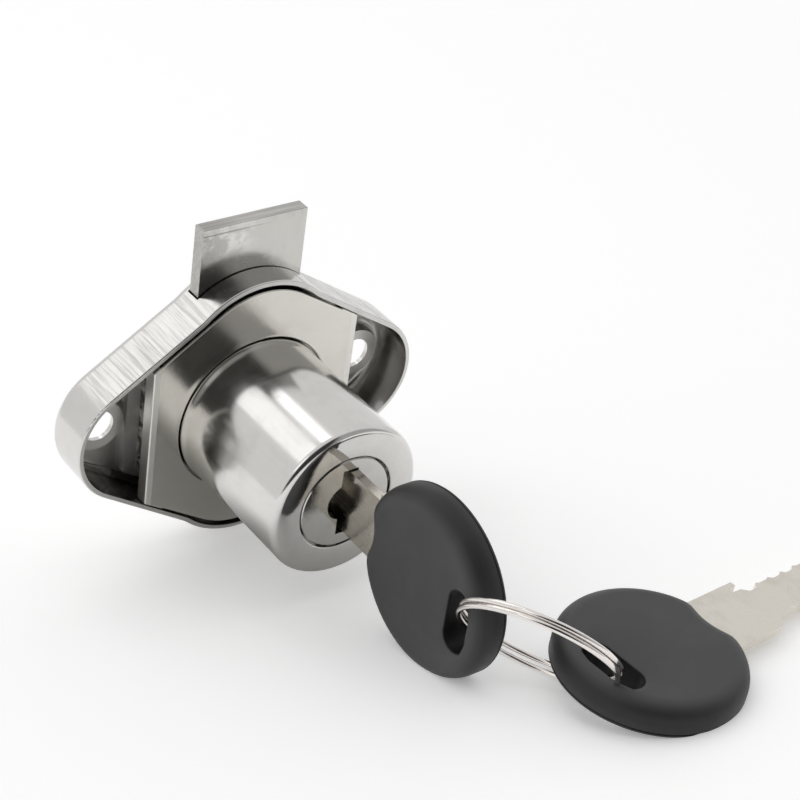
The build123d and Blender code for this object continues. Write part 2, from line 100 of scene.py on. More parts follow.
class Graph:
    """A node tree with short calls for adding nodes and joining them.

    Attributes:
        tree: The tree that the nodes go into.
        start: The node that gives a group's inputs, in a group alone.
        end: The node that takes a group's outputs, in a group alone.
    """

    def __init__(self, tree: bpy.types.NodeTree) -> None:
        """Takes the tree, which has no end nodes yet."""
        self.tree = tree
        self.start: Optional[bpy.types.Node] = None
        self.end: Optional[bpy.types.Node] = None

    def add(self, kind: str, settings: Optional[Dict[str, Any]] = None, **inputs: Any) -> bpy.types.Node:
        """Add one node.

        Args:
            kind: The node's type name.
            settings: Properties of the node itself.
            inputs: Sockets by name, with underscores for blanks, each a value or another node's output.

        Returns:
            The new node.
        """
        node = self.tree.nodes.new(kind)
        for key, value in (settings or {}).items():
            setattr(node, key, value)
        for key, value in inputs.items():
            self.feed(node, key.replace("_", " "), value)
        return node

    def feed(self, node: bpy.types.Node, socket: Union[int, str], value: Any) -> None:
        """Set a socket's value, or join it to another node.

        Args:
            node: The node that takes the value.
            socket: Its socket, by name or by number.
            value: A plain value, or the other node's output.
        """
        target = node.inputs[socket]
        if isinstance(value, bpy.types.NodeSocket):
            self.tree.links.new(value, target)
        else:
            target.default_value = value

    def math(self, operation: str, *values: Number, clamp: bool = False) -> Socket:
        """Work out one step of arithmetic.

        Args:
            operation: The Math node's operation.
            values: Up to three values or outputs.
            clamp: Whether the result is kept between 0 and 1.

        Returns:
            The result.
        """
        node = self.add("ShaderNodeMath", {"operation": operation, "use_clamp": clamp})
        for i, value in enumerate(values):
            self.feed(node, i, value)
        return node.outputs[0]

    def times(self, first: Number, *others: Number) -> Socket:
        """Product of two or more values or outputs."""
        for other in others:
            first = self.math("MULTIPLY", first, other)
        return first

    def vector_math(self, operation: str, vector: Socket, other: Any = None) -> bpy.types.Node:
        """Work out one step on vectors.

        Args:
            operation: The Vector Math node's operation.
            vector: The first vector.
            other: The second one, where the operation takes two.

        Returns:
            The node, whose results are its outputs.
        """
        node = self.add("ShaderNodeVectorMath", {"operation": operation})
        self.feed(node, 0, vector)
        if other is not None:
            self.feed(node, 1, other)
        return node

    def dot(self, vector: Socket, along: Triple) -> Socket:
        """Length of a vector along a fixed direction."""
        return self.vector_math("DOT_PRODUCT", vector, along).outputs["Value"]

    def ramp(self, value: Socket, low: Number, high: Number, start: float = 0.0, end: float = 1.0) -> Socket:
        """Change smoothly from one value to another.

        Args:
            value: What the change follows.
            low: Where the change begins.
            high: Where it is complete.
            start: Result up to low.
            end: Result from high on.

        Returns:
            The result.
        """
        node = self.add("ShaderNodeMapRange", {"interpolation_type": "SMOOTHSTEP"})
        for socket, number in enumerate((value, low, high, start, end)):
            self.feed(node, socket, number)
        return node.outputs[0]

    def blend(self, share: Number, first: Union[Colour, Socket], second: Union[Colour, Socket]) -> Socket:
        """Mix two colours.

        Args:
            share: Share of the second colour.
            first: The first colour.
            second: The second colour.

        Returns:
            The mixed colour.
        """
        node = self.add("ShaderNodeMix", {"data_type": "RGBA"})
        self.feed(node, 0, share)
        for socket, colour in ((6, first), (7, second)):
            self.feed(node, socket, (*colour, 1.0) if isinstance(colour, tuple) else colour)
        return node.outputs[2]

    def bump(self, height: Socket, distance: float, strength: float = 1.0) -> Socket:
        """Normal of a fine relief of the given height."""
        return self.add("ShaderNodeBump", Strength=strength, Distance=distance, Height=height).outputs[0]


def new_material(name: str) -> Tuple[bpy.types.Material, Graph]:
    """Start a material.

    Args:
        name: The material's name.

    Returns:
        The material, with an empty node tree, and its graph.
    """
    material = bpy.data.materials.new(name)
    material.use_nodes = True
    material.node_tree.nodes.clear()
    return material, Graph(material.node_tree)


def new_group(name: str, inputs: Dict[str, Tuple[str, Any]], outputs: Dict[str, str]) -> Graph:
    """Start a shader node group.

    Args:
        name: The group's name.
        inputs: Socket type and starting value by name.
        outputs: Socket type by name.

    Returns:
        The group's graph, with its two end nodes in place.
    """
    tree = bpy.data.node_groups.new(name, "ShaderNodeTree")
    for label, (kind, value) in inputs.items():
        socket = tree.interface.new_socket(name=label, in_out="INPUT", socket_type=kind)
        if value is not None:
            socket.default_value = value
    for label, kind in outputs.items():
        tree.interface.new_socket(name=label, in_out="OUTPUT", socket_type=kind)
    graph = Graph(tree)
    graph.start = graph.add("NodeGroupInput")
    graph.end = graph.add("NodeGroupOutput")
    return graph


class Effects:
    """The shader node groups that the finishes share, with a method that places each in a material.

    Attributes:
        grain: Long fine lines.
        cloud: Soft patches.
        scratches: Sparse hairlines.
        band: A band about one level.
        FLOAT: Socket type of a number.
        VECTOR: Socket type of a place or direction.
        MM_IN_METRE: Millimetres in a metre.
        GRAIN_LEVELS: Levels of the noise at which a line begins and is full.
        NOISE_MIDDLE: The middle of a noise's range.
        HAIRLINE_TILT: Turn of both crossing noises about the depth axis.
        HAIRLINE_TURNS: Turn about the other axes, and stretch, of each crossing noise.
    """

    FLOAT = "NodeSocketFloat"
    VECTOR = "NodeSocketVector"
    MM_IN_METRE = 1000.0
    GRAIN_LEVELS: Pair = (0.3, 0.7)
    NOISE_MIDDLE = 0.5
    HAIRLINE_TILT = 0.3
    HAIRLINE_TURNS = ((0.5, (1.0, 0.07, 0.5)), (-0.8, (0.6, 0.09, 1.0)))

    def __init__(self) -> None:
        """Builds every group once."""
        self.grain = self._grain()
        self.cloud = self._cloud()
        self.scratches = self._scratches()
        self.band = self._band()

    def _grain(self) -> bpy.types.NodeTree:
        """Make long fine lines: noise on a place that is squeezed across the lines and stretched along them.

        Returns:
            The group, which gives a height.
        """
        g = new_group("fine_grain", {"Place": (self.VECTOR, None), "Stretch": (self.VECTOR, (1.0, 1.0, 1.0)),
                                     "Lines per mm": (self.FLOAT, 4.0)}, {"Height": self.FLOAT})
        squeeze = g.vector_math("MULTIPLY", g.start.outputs["Place"], g.start.outputs["Stretch"])
        size = g.times(g.start.outputs["Lines per mm"], self.MM_IN_METRE)
        noise = g.add("ShaderNodeTexNoise", {"noise_dimensions": "3D"}, Vector=squeeze.outputs[0], Scale=size,
                      Detail=3.0, Roughness=0.6)
        g.feed(g.end, "Height", g.ramp(noise.outputs[0], *self.GRAIN_LEVELS))
        return g.tree

    def _cloud(self) -> bpy.types.NodeTree:
        """Make soft patches of tarnish or handling: low noise, warped a little, cut between two levels.

        Returns:
            The group, which gives a mask.
        """
        g = new_group("cloudy_patches", {"Place": (self.VECTOR, None), "Patches per mm": (self.FLOAT, 0.3),
                                         "From": (self.FLOAT, 0.4), "To": (self.FLOAT, 0.65)},
                      {"Mask": self.FLOAT})
        size = g.times(g.start.outputs["Patches per mm"], self.MM_IN_METRE)
        noise = g.add("ShaderNodeTexNoise", {"noise_dimensions": "3D"}, Vector=g.start.outputs["Place"],
                      Scale=size, Detail=5.0, Roughness=0.62, Distortion=0.4)
        g.feed(g.end, "Mask", g.ramp(noise.outputs[0], g.start.outputs["From"], g.start.outputs["To"]))
        return g.tree

    def _scratches(self) -> bpy.types.NodeTree:
        """Make sparse hairlines: where either of two crossing stretched noises passes its middle.

        Returns:
            The group, which gives a mask.
        """
        g = new_group("hairlines", {"Place": (self.VECTOR, None), "Lines per mm": (self.FLOAT, 1.5),
                                    "Width": (self.FLOAT, 0.02)}, {"Mask": self.FLOAT})
        size = g.times(g.start.outputs["Lines per mm"], self.MM_IN_METRE)
        found = []
        for turn, stretch in self.HAIRLINE_TURNS:
            turned = g.add("ShaderNodeMapping", Vector=g.start.outputs["Place"],
                           Rotation=(turn, self.HAIRLINE_TILT, turn), Scale=stretch)
            noise = g.add("ShaderNodeTexNoise", Vector=turned.outputs[0], Scale=size, Detail=1.0)
            away = g.math("ABSOLUTE", g.math("SUBTRACT", noise.outputs[0], self.NOISE_MIDDLE))
            share = g.math("DIVIDE", away, g.start.outputs["Width"])
            found.append(g.math("SUBTRACT", 1.0, share, clamp=True))
        g.feed(g.end, "Mask", g.math("MAXIMUM", *found))
        return g.tree

    def _band(self) -> bpy.types.NodeTree:
        """Make a band: 1 where a height is within half a width of a level, soft at its edges.

        Returns:
            The group, which gives a mask.
        """
        g = new_group("straight_band", {"Height": (self.FLOAT, 0.0), "Level": (self.FLOAT, 0.0),
                                        "Half width": (self.FLOAT, 0.0002), "Softness": (self.FLOAT, 0.0001)},
                      {"Mask": self.FLOAT})
        away = g.math("ABSOLUTE", g.math("SUBTRACT", g.start.outputs["Height"], g.start.outputs["Level"]))
        past = g.math("SUBTRACT", away, g.start.outputs["Half width"])
        share = g.math("DIVIDE", past, g.start.outputs["Softness"])
        g.feed(g.end, "Mask", g.math("SUBTRACT", 1.0, share, clamp=True))
        return g.tree

    @staticmethod
    def _place(graph: Graph, group: bpy.types.NodeTree, **inputs: Any) -> Socket:
        """Output of a group that is put into a material with its own values."""
        return graph.add("ShaderNodeGroup", {"node_tree": group}, **inputs).outputs[0]

    def lines(self, graph: Graph, place: Socket, along: Along, rate: float) -> Socket:
        """Height of fine lines that run one way, with so many in a millimetre."""
        return self._place(graph, self.grain, Place=place, Stretch=along.value, Lines_per_mm=rate)

    def patches(self, graph: Graph, place: Socket, rate: float, levels: Pair) -> Socket:
        """Mask of soft patches, which begin at the first level and are full at the second."""
        return self._place(graph, self.cloud, Place=place, Patches_per_mm=rate, From=levels[0], To=levels[1])

    def hairlines(self, graph: Graph, place: Socket, rate: float, width: float) -> Socket:
        """Mask of sparse hairlines, with so many in a millimetre."""
        return self._place(graph, self.scratches, Place=place, Lines_per_mm=rate, Width=width)

    def stripe(self, graph: Graph, height: Socket, level: float, half: float, soft: float) -> Socket:
        """Mask of a band within half a width of a level, with a soft edge."""
        return self._place(graph, self.band, Height=height, Level=level, Half_width=half, Softness=soft)


EFFECTS = Effects()


@dataclass(frozen=True)
class MetalNodes:
    """The nodes of a metal that its own marks are added to.

    Attributes:
        graph: The material's graph.
        place: Place on the piece.
        facing: Direction that the surface faces in.
        shader: The material's shader.
        base: Its colour so far.
        rough: Its roughness so far.
    """

    graph: Graph
    place: Socket
    facing: Socket
    shader: bpy.types.Node
    base: Socket
    rough: Socket


@dataclass(frozen=True)
class MetalFinish:
    """A plated or bare metal.

    Attributes:
        finish: The material slot it is for.
        colour: Colour of the clean metal.
        worn: Colour where it is handled or tarnished.
        roughness: Roughness of the clean metal.
        dull: Roughness in its dull patches.
        along: Direction of its fine lines.
        lines: Fine lines in a millimetre.
        line_height: Height of the fine lines.
        line_shade: How much the lines darken the metal.
        line_dark: Share of the clean colour that a line darkens towards.
        patches: Cloudy patches in a millimetre.
        patch_levels: Levels at which a patch begins and is full.
        hairlines: Strength of the stray scratches.
        hairline_rate: Stray scratches in a millimetre.
        hairline_width: Width of a scratch, in the noise's own units.
        hairline_dull: Roughness that a full scratch adds.
        bright: Share of bare metal, where the rest is a chalky film.
    """

    finish: Finish
    colour: Colour
    worn: Colour
    roughness: float
    dull: float
    along: Along = Along.EVERY_WAY
    lines: float = 4.0
    line_height: float = 2.0 * MICRON
    line_shade: float = 0.1
    line_dark: float = 0.55
    patches: float = 0.25
    patch_levels: Pair = (0.42, 0.68)
    hairlines: float = 0.2
    hairline_rate: float = 0.8
    hairline_width: float = 0.012
    hairline_dull: float = 0.25
    bright: float = 1.0

    def build(self) -> bpy.types.Material:
        """Make the material.

        Returns:
            A material whose colour, roughness and fine relief change over the surface.
        """
        material, g = new_material(self.finish.value)
        coordinates = g.add("ShaderNodeTexCoord")
        place = coordinates.outputs["Object"]
        grain = EFFECTS.lines(g, place, self.along, self.lines)
        cloud = EFFECTS.patches(g, place, self.patches, self.patch_levels)
        mark = g.times(EFFECTS.hairlines(g, place, self.hairline_rate, self.hairline_width), self.hairlines)
        base = g.blend(cloud, self.colour, self.worn)
        dark = tuple(self.line_dark * c for c in self.colour)
        base = g.blend(g.times(grain, self.line_shade), base, dark)
        rough = g.ramp(cloud, 0.0, 1.0, self.roughness, self.dull)
        rough = g.math("ADD", rough, g.times(mark, self.hairline_dull), clamp=True)
        relief = g.bump(g.math("SUBTRACT", grain, mark), self.line_height)
        shader = g.add("ShaderNodeBsdfPrincipled", Metallic=self.bright, Base_Color=base, Roughness=rough,
                       Normal=relief)
        g.add("ShaderNodeOutputMaterial", Surface=shader.outputs[0])
        self.add_marks(MetalNodes(g, place, coordinates.outputs["Normal"], shader, base, rough))
        return material

    def add_marks(self, made: MetalNodes) -> None:
        """Adds what only one finish has; a plain metal has nothing more."""


@dataclass(frozen=True)
class DrawnSteelFinish(MetalFinish):
    """Satin nickel on a drawn cup: the die's lines run along the drawing on its straight walls alone.

    Attributes:
        slope: Slope of the straight walls, in degrees.
        wall: Cosines to their normals at which the walls begin and are full.
        marks: Die lines in a millimetre.
        mark_power: Power that thins the lines.
        mark_depth: Strength of the lines.
        mark_colour: Colour in the lines.
        mark_height: Height of the lines.
        floor: Cosines to the depth axis at which the cup's floor begins and is full.
        floor_dull: Roughness that the floor adds.
    """

    slope: float = 33.0
    wall: Pair = (0.975, 0.996)
    marks: float = 2.6
    mark_power: float = 1.6
    mark_depth: float = 0.75
    mark_colour: Colour = (0.36, 0.36, 0.35)
    mark_height: float = 6.0 * MICRON
    floor: Pair = (0.9, 0.99)
    floor_dull: float = 0.22

    def add_marks(self, made: MetalNodes) -> None:
        """Draw the lines on the walls that face the four slanting ways, and dull the floor.

        Args:
            made: The metal's nodes so far.
        """
        g = made.graph
        slope = math.radians(self.slope)
        slants = [g.math("ABSOLUTE", g.dot(made.facing, (side * math.sin(slope), 0.0, math.cos(slope))))
                  for side in (-1.0, 1.0)]
        wall = g.ramp(g.math("MAXIMUM", *slants), *self.wall)
        lines = g.math("POWER", EFFECTS.lines(g, made.place, Along.Y, self.marks), self.mark_power)
        drawn = g.times(lines, wall, self.mark_depth)
        g.feed(made.shader, "Base Color", g.blend(drawn, made.base, self.mark_colour))
        g.feed(made.shader, "Normal", g.bump(drawn, self.mark_height))
        floor = g.ramp(g.dot(made.facing, TOWARDS_FRONT), *self.floor, 0.0, self.floor_dull)
        g.feed(made.shader, "Roughness", g.math("ADD", made.rough, floor, clamp=True))


@dataclass(frozen=True)
class TurnedFaceFinish(MetalFinish):
    """A metal whose faced end is finer than its round wall, with a dark line along the seam round the plug.

    Attributes:
        face: Cosines to the depth axis at which the faced end begins and is full.
        face_share: Roughness of the faced end as a share of the wall's.
        seam: Radius of the seam.
        seam_half: Half the width of the dark line.
        seam_soft: Width over which the line fades.
        seam_face: Cosines to the depth axis at which the line begins and is full.
        seam_colour: Colour of the dark line.
    """

    face: Pair = (0.93, 0.995)
    face_share: float = 0.45
    seam: float = 6.03 * MM
    seam_half: float = 0.05 * MM
    seam_soft: float = 0.04 * MM
    seam_face: Pair = (0.6, 0.9)
    seam_colour: Colour = (0.02, 0.02, 0.02)

    def add_marks(self, made: MetalNodes) -> None:
        """Smooth the faced end and draw the seam, at a radius of the length of (x, 0, z).

        Args:
            made: The metal's nodes so far.
        """
        g = made.graph
        front = g.dot(made.facing, TOWARDS_FRONT)
        g.feed(made.shader, "Roughness", g.times(made.rough, g.ramp(front, *self.face, 1.0, self.face_share)))
        radius = g.vector_math("LENGTH", g.vector_math("MULTIPLY", made.place, (1.0, 0.0, 1.0)).outputs[0])
        line = EFFECTS.stripe(g, radius.outputs["Value"], self.seam, self.seam_half, self.seam_soft)
        end = g.times(line, g.ramp(front, *self.seam_face))
        # A dark line along the seam round the plug.
        g.feed(made.shader, "Base Color", g.blend(end, made.base, self.seam_colour))


@dataclass(frozen=True)
class CutPlateFinish(MetalFinish):
    """Satin nickel plate with a painted highlight along its two straight cut ends, a lighter and duller band.

    Attributes:
        middle: Place of the plate's middle, from left to right.
        half_length: Half the plate's length.
        lighter: Width of the painted highlight band.
        soft: Half the width of the band's soft edge.
        highlight_share: Strength of the painted highlight.
        highlight_colour: Colour of the painted highlight.
        highlight_band_dull: Roughness that the band adds.
    """

    middle: float = -0.2 * MM
    half_length: float = 14.15 * MM
    lighter: float = 0.85 * MM
    soft: float = 0.06 * MM
    highlight_share: float = 0.75
    highlight_colour: Colour = (0.88, 0.86, 0.82)
    highlight_band_dull: float = 0.28

    def add_marks(self, made: MetalNodes) -> None:
        """Paint the highlight on the band within its width of either end, and dull that band.

        Args:
            made: The metal's nodes so far.
        """
        g = made.graph
        away = g.math("ABSOLUTE", g.math("SUBTRACT", g.dot(made.place, TOWARDS_RIGHT), self.middle))
        inner = self.half_length - self.lighter
        # Painted highlight: the band along either cut end is lighter.
        painted_highlight = g.ramp(away, inner - self.soft, inner + self.soft)
        g.feed(made.shader, "Base Color", g.blend(g.times(painted_highlight, self.highlight_share), made.base, self.highlight_colour))
        rough = g.math("ADD", made.rough, g.times(painted_highlight, self.highlight_band_dull), clamp=True)
        g.feed(made.shader, "Roughness", rough)


@dataclass(frozen=True)
class BoltFinish(MetalFinish):
    """Satin steel: painted shade at its left, a cloudy bloom, a painted highlight at the tip, sheared edges.

    Attributes:
        front: Cosines to the depth axis at which the bolt's broad front begins and is full.
        left_shade: Where the painted shade is full and where it ends, from left to right.
        left_shade_share: Strength of the painted shade.
        left_shade_colour: Colour of the painted shade.
        bloom: Patches of bloom in a millimetre.
        bloom_levels: Levels at which a patch of bloom begins and is full.
        bloom_below: Depths below the tip at which the bloom begins and is full.
        bloom_across: Where the bloom begins and is full, from right to left.
        bloom_share: Strength of the bloom.
        bloom_colour: Colour of the bloom.
        tip: Height of the bolt's tip.
        band: Width of the painted highlight band under the tip.
        band_edge: Height over which the band sets in.
        band_across: Where the band begins and is full, from right to left.
        tip_highlight_share: Strength of the painted highlight.
        tip_highlight_colour: Colour of the painted highlight.
        line_half: Half the width of the painted shadow line under the band.
        line_soft: Width over which the line fades.
        shadow_line_share: Strength of the painted shadow line.
        shadow_line_colour: Colour of the painted shadow line.
        shear: Shear lines in a millimetre, on the narrow sides.
        shear_share: Strength of the shear lines.
        shear_colour: Colour in the shear lines.
    """

    front: Pair = (0.6, 0.95)
    left_shade: Pair = (-6.6 * MM, -1.32 * MM)
    left_shade_share: float = 0.45
    left_shade_colour: Colour = (0.30, 0.29, 0.27)
    bloom: float = 0.45
    bloom_levels: Pair = (0.40, 0.60)
    bloom_below: Pair = (5.5 * MM, 1.8 * MM)
    bloom_across: Pair = (1.5 * MM, -2.5 * MM)
    bloom_share: float = 0.75
    bloom_colour: Colour = (0.86, 0.85, 0.83)
    tip: float = 24.9 * MM
    band: float = 0.85 * MM
    band_edge: float = 0.1 * MM
    band_across: Pair = (4.0 * MM, -4.5 * MM)
    tip_highlight_share: float = 0.5
    tip_highlight_colour: Colour = (0.72, 0.71, 0.69)
    line_half: float = 0.03 * MM
    line_soft: float = 0.09 * MM
    shadow_line_share: float = 0.75
    shadow_line_colour: Colour = (0.22, 0.21, 0.20)
    shear: float = 2.2
    shear_share: float = 0.45
    shear_colour: Colour = (0.24, 0.24, 0.23)

    def add_marks(self, made: MetalNodes) -> None:
        """Add the painted shade, the bloom, the painted highlight and shadow line, and the shear lines.

        Args:
            made: The metal's nodes so far.
        """
        g = made.graph
        height, across = g.dot(made.place, UPWARDS), g.dot(made.place, TOWARDS_RIGHT)
        facing = g.dot(made.facing, TOWARDS_FRONT)
        front = g.ramp(facing, *self.front)
        # Painted shade: the bolt grows darker towards its left.
        left_shade = g.ramp(across, *self.left_shade, self.left_shade_share, 0.0)
        colour = g.blend(left_shade, made.base, self.left_shade_colour)
        bloom = EFFECTS.patches(g, made.place, self.bloom, self.bloom_levels)
        upper = g.ramp(height, *(self.tip - depth for depth in self.bloom_below))
        bloom = g.times(bloom, self.bloom_share, upper, g.ramp(across, *self.bloom_across), front)
        colour = g.blend(bloom, colour, self.bloom_colour)
        # Painted highlight in a band under the tip, with a painted shadow line along its lower edge.
        level = self.tip - self.band
        fade = g.times(front, g.ramp(across, *self.band_across))
        band = g.times(fade, g.ramp(height, level, level + self.band_edge), self.tip_highlight_share)
        colour = g.blend(band, colour, self.tip_highlight_colour)
        line = EFFECTS.stripe(g, height, level, self.line_half, self.line_soft)
        colour = g.blend(g.times(line, self.shadow_line_share, fade), colour, self.shadow_line_colour)
        side = g.math("SUBTRACT", 1.0, g.math("ABSOLUTE", facing), clamp=True)
        shear = g.times(EFFECTS.lines(g, made.place, Along.X, self.shear), side, self.shear_share)
        g.feed(made.shader, "Base Color", g.blend(shear, colour, self.shear_colour))


@dataclass(frozen=True)
class CastFinish:
    """Dull zinc casting, mottled and finely pitted.

    Attributes:
        finish: The material slot it is for.
        colour: Colour of the clean casting.
        dark: Colour of its dark patches.
        roughness: Roughness of the clean casting and of a patch.
        patches: Patches in a millimetre.
        patch_levels: Levels at which a patch begins and is full.
        patch_rise: Height of a patch against a pit's.
        pits: Pits in a millimetre.
        pit_height: Height of the pits' relief.
        bright: Share of bare metal, where the rest is a chalky film.
    """

    finish: Finish
    colour: Colour
    dark: Colour
    roughness: Pair = (0.28, 0.55)
    patches: float = 0.45
    patch_levels: Pair = (0.42, 0.58)
    patch_rise: float = 3.0
    pits: float = 2.2
    pit_height: float = 20.0 * MICRON
    bright: float = 0.6

    def build(self) -> bpy.types.Material:
        """Make the material.

        Returns:
            A material whose colour, roughness and relief change over the surface.
        """
        material, g = new_material(self.finish.value)
        place = g.add("ShaderNodeTexCoord").outputs["Object"]
        cloud = EFFECTS.patches(g, place, self.patches, self.patch_levels)
        pits = EFFECTS.lines(g, place, Along.EVERY_WAY, self.pits)
        height = g.math("ADD", pits, g.times(cloud, self.patch_rise))
        shader = g.add("ShaderNodeBsdfPrincipled", Metallic=self.bright,
                       Base_Color=g.blend(cloud, self.colour, self.dark),
                       Roughness=g.ramp(cloud, 0.0, 1.0, *self.roughness),
                       Normal=g.bump(height, self.pit_height))
        g.add("ShaderNodeOutputMaterial", Surface=shader.outputs[0])
        return material


@dataclass(frozen=True)
class MouldedFinish:
    """Matt moulded plastic with a fine spark texture.

    Attributes:
        finish: The material slot it is for.
        colour: Colour of the moulding.
        lighter: Colour of its rubbed patches.
        inner: Colour of the painted shade in its slot and joint, fainter on its sides.
        inner_shade_share: Strength of the painted shade.
        roughness: Roughness of the moulding and of a rubbed patch.
        gloss: Strength of its mirror reflection.
        patches: Rubbed patches in a millimetre.
        patch_levels: Levels at which a patch begins and is full.
        sparks: Grains of the texture in a millimetre.
        spark_height: Height of the grains.
        spark_strength: Strength of the grains.
    """

    finish: Finish
    colour: Colour
    lighter: Colour
    inner: Colour = (0.005, 0.005, 0.005)
    inner_shade_share: float = 0.9
    roughness: Pair = (0.50, 0.44)
    gloss: float = 0.28
    patches: float = 0.12
    patch_levels: Pair = (0.4, 0.7)
    sparks: float = 7.0
    spark_height: float = 8.0 * MICRON
    spark_strength: float = 0.6

    def build(self) -> bpy.types.Material:
        """Make the material.

        Returns:
            A material whose colour, roughness and relief change over the surface, with painted shade
            where a piece's attribute "inside" says so.
        """
        material, g = new_material(self.finish.value)
        place = g.add("ShaderNodeTexCoord").outputs["Object"]
        inside = g.add("ShaderNodeAttribute", {"attribute_name": "inside"}).outputs["Fac"]
        cloud = EFFECTS.patches(g, place, self.patches, self.patch_levels)
        base = g.blend(cloud, self.colour, self.lighter)
        sparks = EFFECTS.lines(g, place, Along.EVERY_WAY, self.sparks)
        # Painted shade: the attribute "inside" darkens the slot and the joint fully and the sides in part.
        shader = g.add("ShaderNodeBsdfPrincipled", Metallic=0.0, Specular_IOR_Level=self.gloss,
                       Base_Color=g.blend(g.times(inside, self.inner_shade_share), base, self.inner),
                       Roughness=g.ramp(cloud, 0.0, 1.0, *self.roughness),
                       Normal=g.bump(sparks, self.spark_height, self.spark_strength))
        g.add("ShaderNodeOutputMaterial", Surface=shader.outputs[0])
        return material


FINISHES: Dict[Finish, Union[MetalFinish, CastFinish, MouldedFinish]] = {made.finish: made for made in (
    DrawnSteelFinish(Finish.CASE, (0.70, 0.69, 0.67), (0.68, 0.67, 0.65), roughness=0.18, dull=0.25,
                     line_shade=0.03, hairlines=0.12),
    MetalFinish(Finish.INNER_PLATE, (0.74, 0.73, 0.71), (0.62, 0.61, 0.59), roughness=0.42, dull=0.52,
                along=Along.Z, bright=0.45),
    CastFinish(Finish.CASTING, (0.78, 0.77, 0.73), (0.16, 0.155, 0.145)),
    CutPlateFinish(Finish.FRONT_PLATE, (0.70, 0.68, 0.635), (0.67, 0.645, 0.60), roughness=0.16, dull=0.20,
                   along=Along.X, lines=3.0, line_height=0.06 * MICRON, line_shade=0.05, patches=0.12,
                   hairlines=0.12),
    TurnedFaceFinish(Finish.SHELL, (0.72, 0.71, 0.69), (0.69, 0.68, 0.66), roughness=0.14, dull=0.19,
                     along=Along.Y, lines=3.0, line_height=0.5 * MICRON, line_shade=0.04, patches=0.3,
                     hairlines=0.1),
    MetalFinish(Finish.RIVET, (0.58, 0.57, 0.55), (0.50, 0.49, 0.47), roughness=0.25, dull=0.38),
    TurnedFaceFinish(Finish.PLUG, (0.62, 0.605, 0.58), (0.57, 0.555, 0.53), roughness=0.12, dull=0.18,
                     along=Along.Z, lines=3.0, line_height=0.3 * MICRON, line_shade=0.04, face_share=1.0),
    MetalFinish(Finish.SPRING, (0.5, 0.5, 0.5), (0.42, 0.42, 0.42), roughness=0.2, dull=0.3),
    BoltFinish(Finish.BOLT, (0.62, 0.61, 0.58), (0.60, 0.59, 0.56), roughness=0.20, dull=0.26,
               along=Along.Z, lines=3.0, line_height=1.0 * MICRON, line_shade=0.06, patches=0.2,
               patch_levels=(0.46, 0.66)),
    MetalFinish(Finish.RING, (0.84, 0.80, 0.77), (0.78, 0.74, 0.71), roughness=0.10, dull=0.16,
                hairlines=0.1),
    MetalFinish(Finish.KEY, (0.76, 0.72, 0.65), (0.68, 0.64, 0.57), roughness=0.20, dull=0.28,
                along=Along.Z, lines=2.5, line_height=0.4 * MICRON, line_shade=0.03, patches=0.2,
                hairlines=0.35),
    MouldedFinish(Finish.BOW, (0.074, 0.074, 0.075), (0.080, 0.080, 0.080)),
    MetalFinish(Finish.WAFER, (0.72, 0.56, 0.30), (0.55, 0.40, 0.20), roughness=0.28, dull=0.42),
)}


class Dresser:
    """Builds each finish once and puts it on the solids that take it.

    Attributes:
        made: The materials that are built so far.
    """

    def __init__(self) -> None:
        """Starts with no material made."""
        self.made: Dict[Finish, bpy.types.Material] = {}

    def material(self, finish: Finish) -> bpy.types.Material:
        """Give a finish's material, built the first time that it is asked for.

        Args:
            finish: The finish.

        Returns:
            Its material.
        """
        if finish not in self.made:
            self.made[finish] = FINISHES[finish].build()
        return self.made[finish]

    def dress(self, piece: bpy.types.Object, finish: Finish, body: str, *nodes: str) -> None:
        """Give a made piece its finish and its body.

        Args:
            piece: The made piece.
            finish: The finish that it takes.
            body: The body that it rides on.
            nodes: The model's solids that it stands in place of.
        """
        piece.data.materials.append(self.material(finish))
        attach(piece, body)
        if nodes:
            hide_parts(*nodes)
        LOG.info("%s made in %s", piece.name, finish.value)

    def solid(self, node: str, finish: Finish) -> None:
        """Put a finish on one of the model's own solids.

        Args:
            node: The solid's name.
            finish: The finish that it takes.
        """
        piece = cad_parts[node]
        if not piece.material_slots:
            piece.data.materials.append(self.material(finish))
        for slot in piece.material_slots:
            slot.material = self.material(finish)
        LOG.info("%s takes %s", node, finish.value)


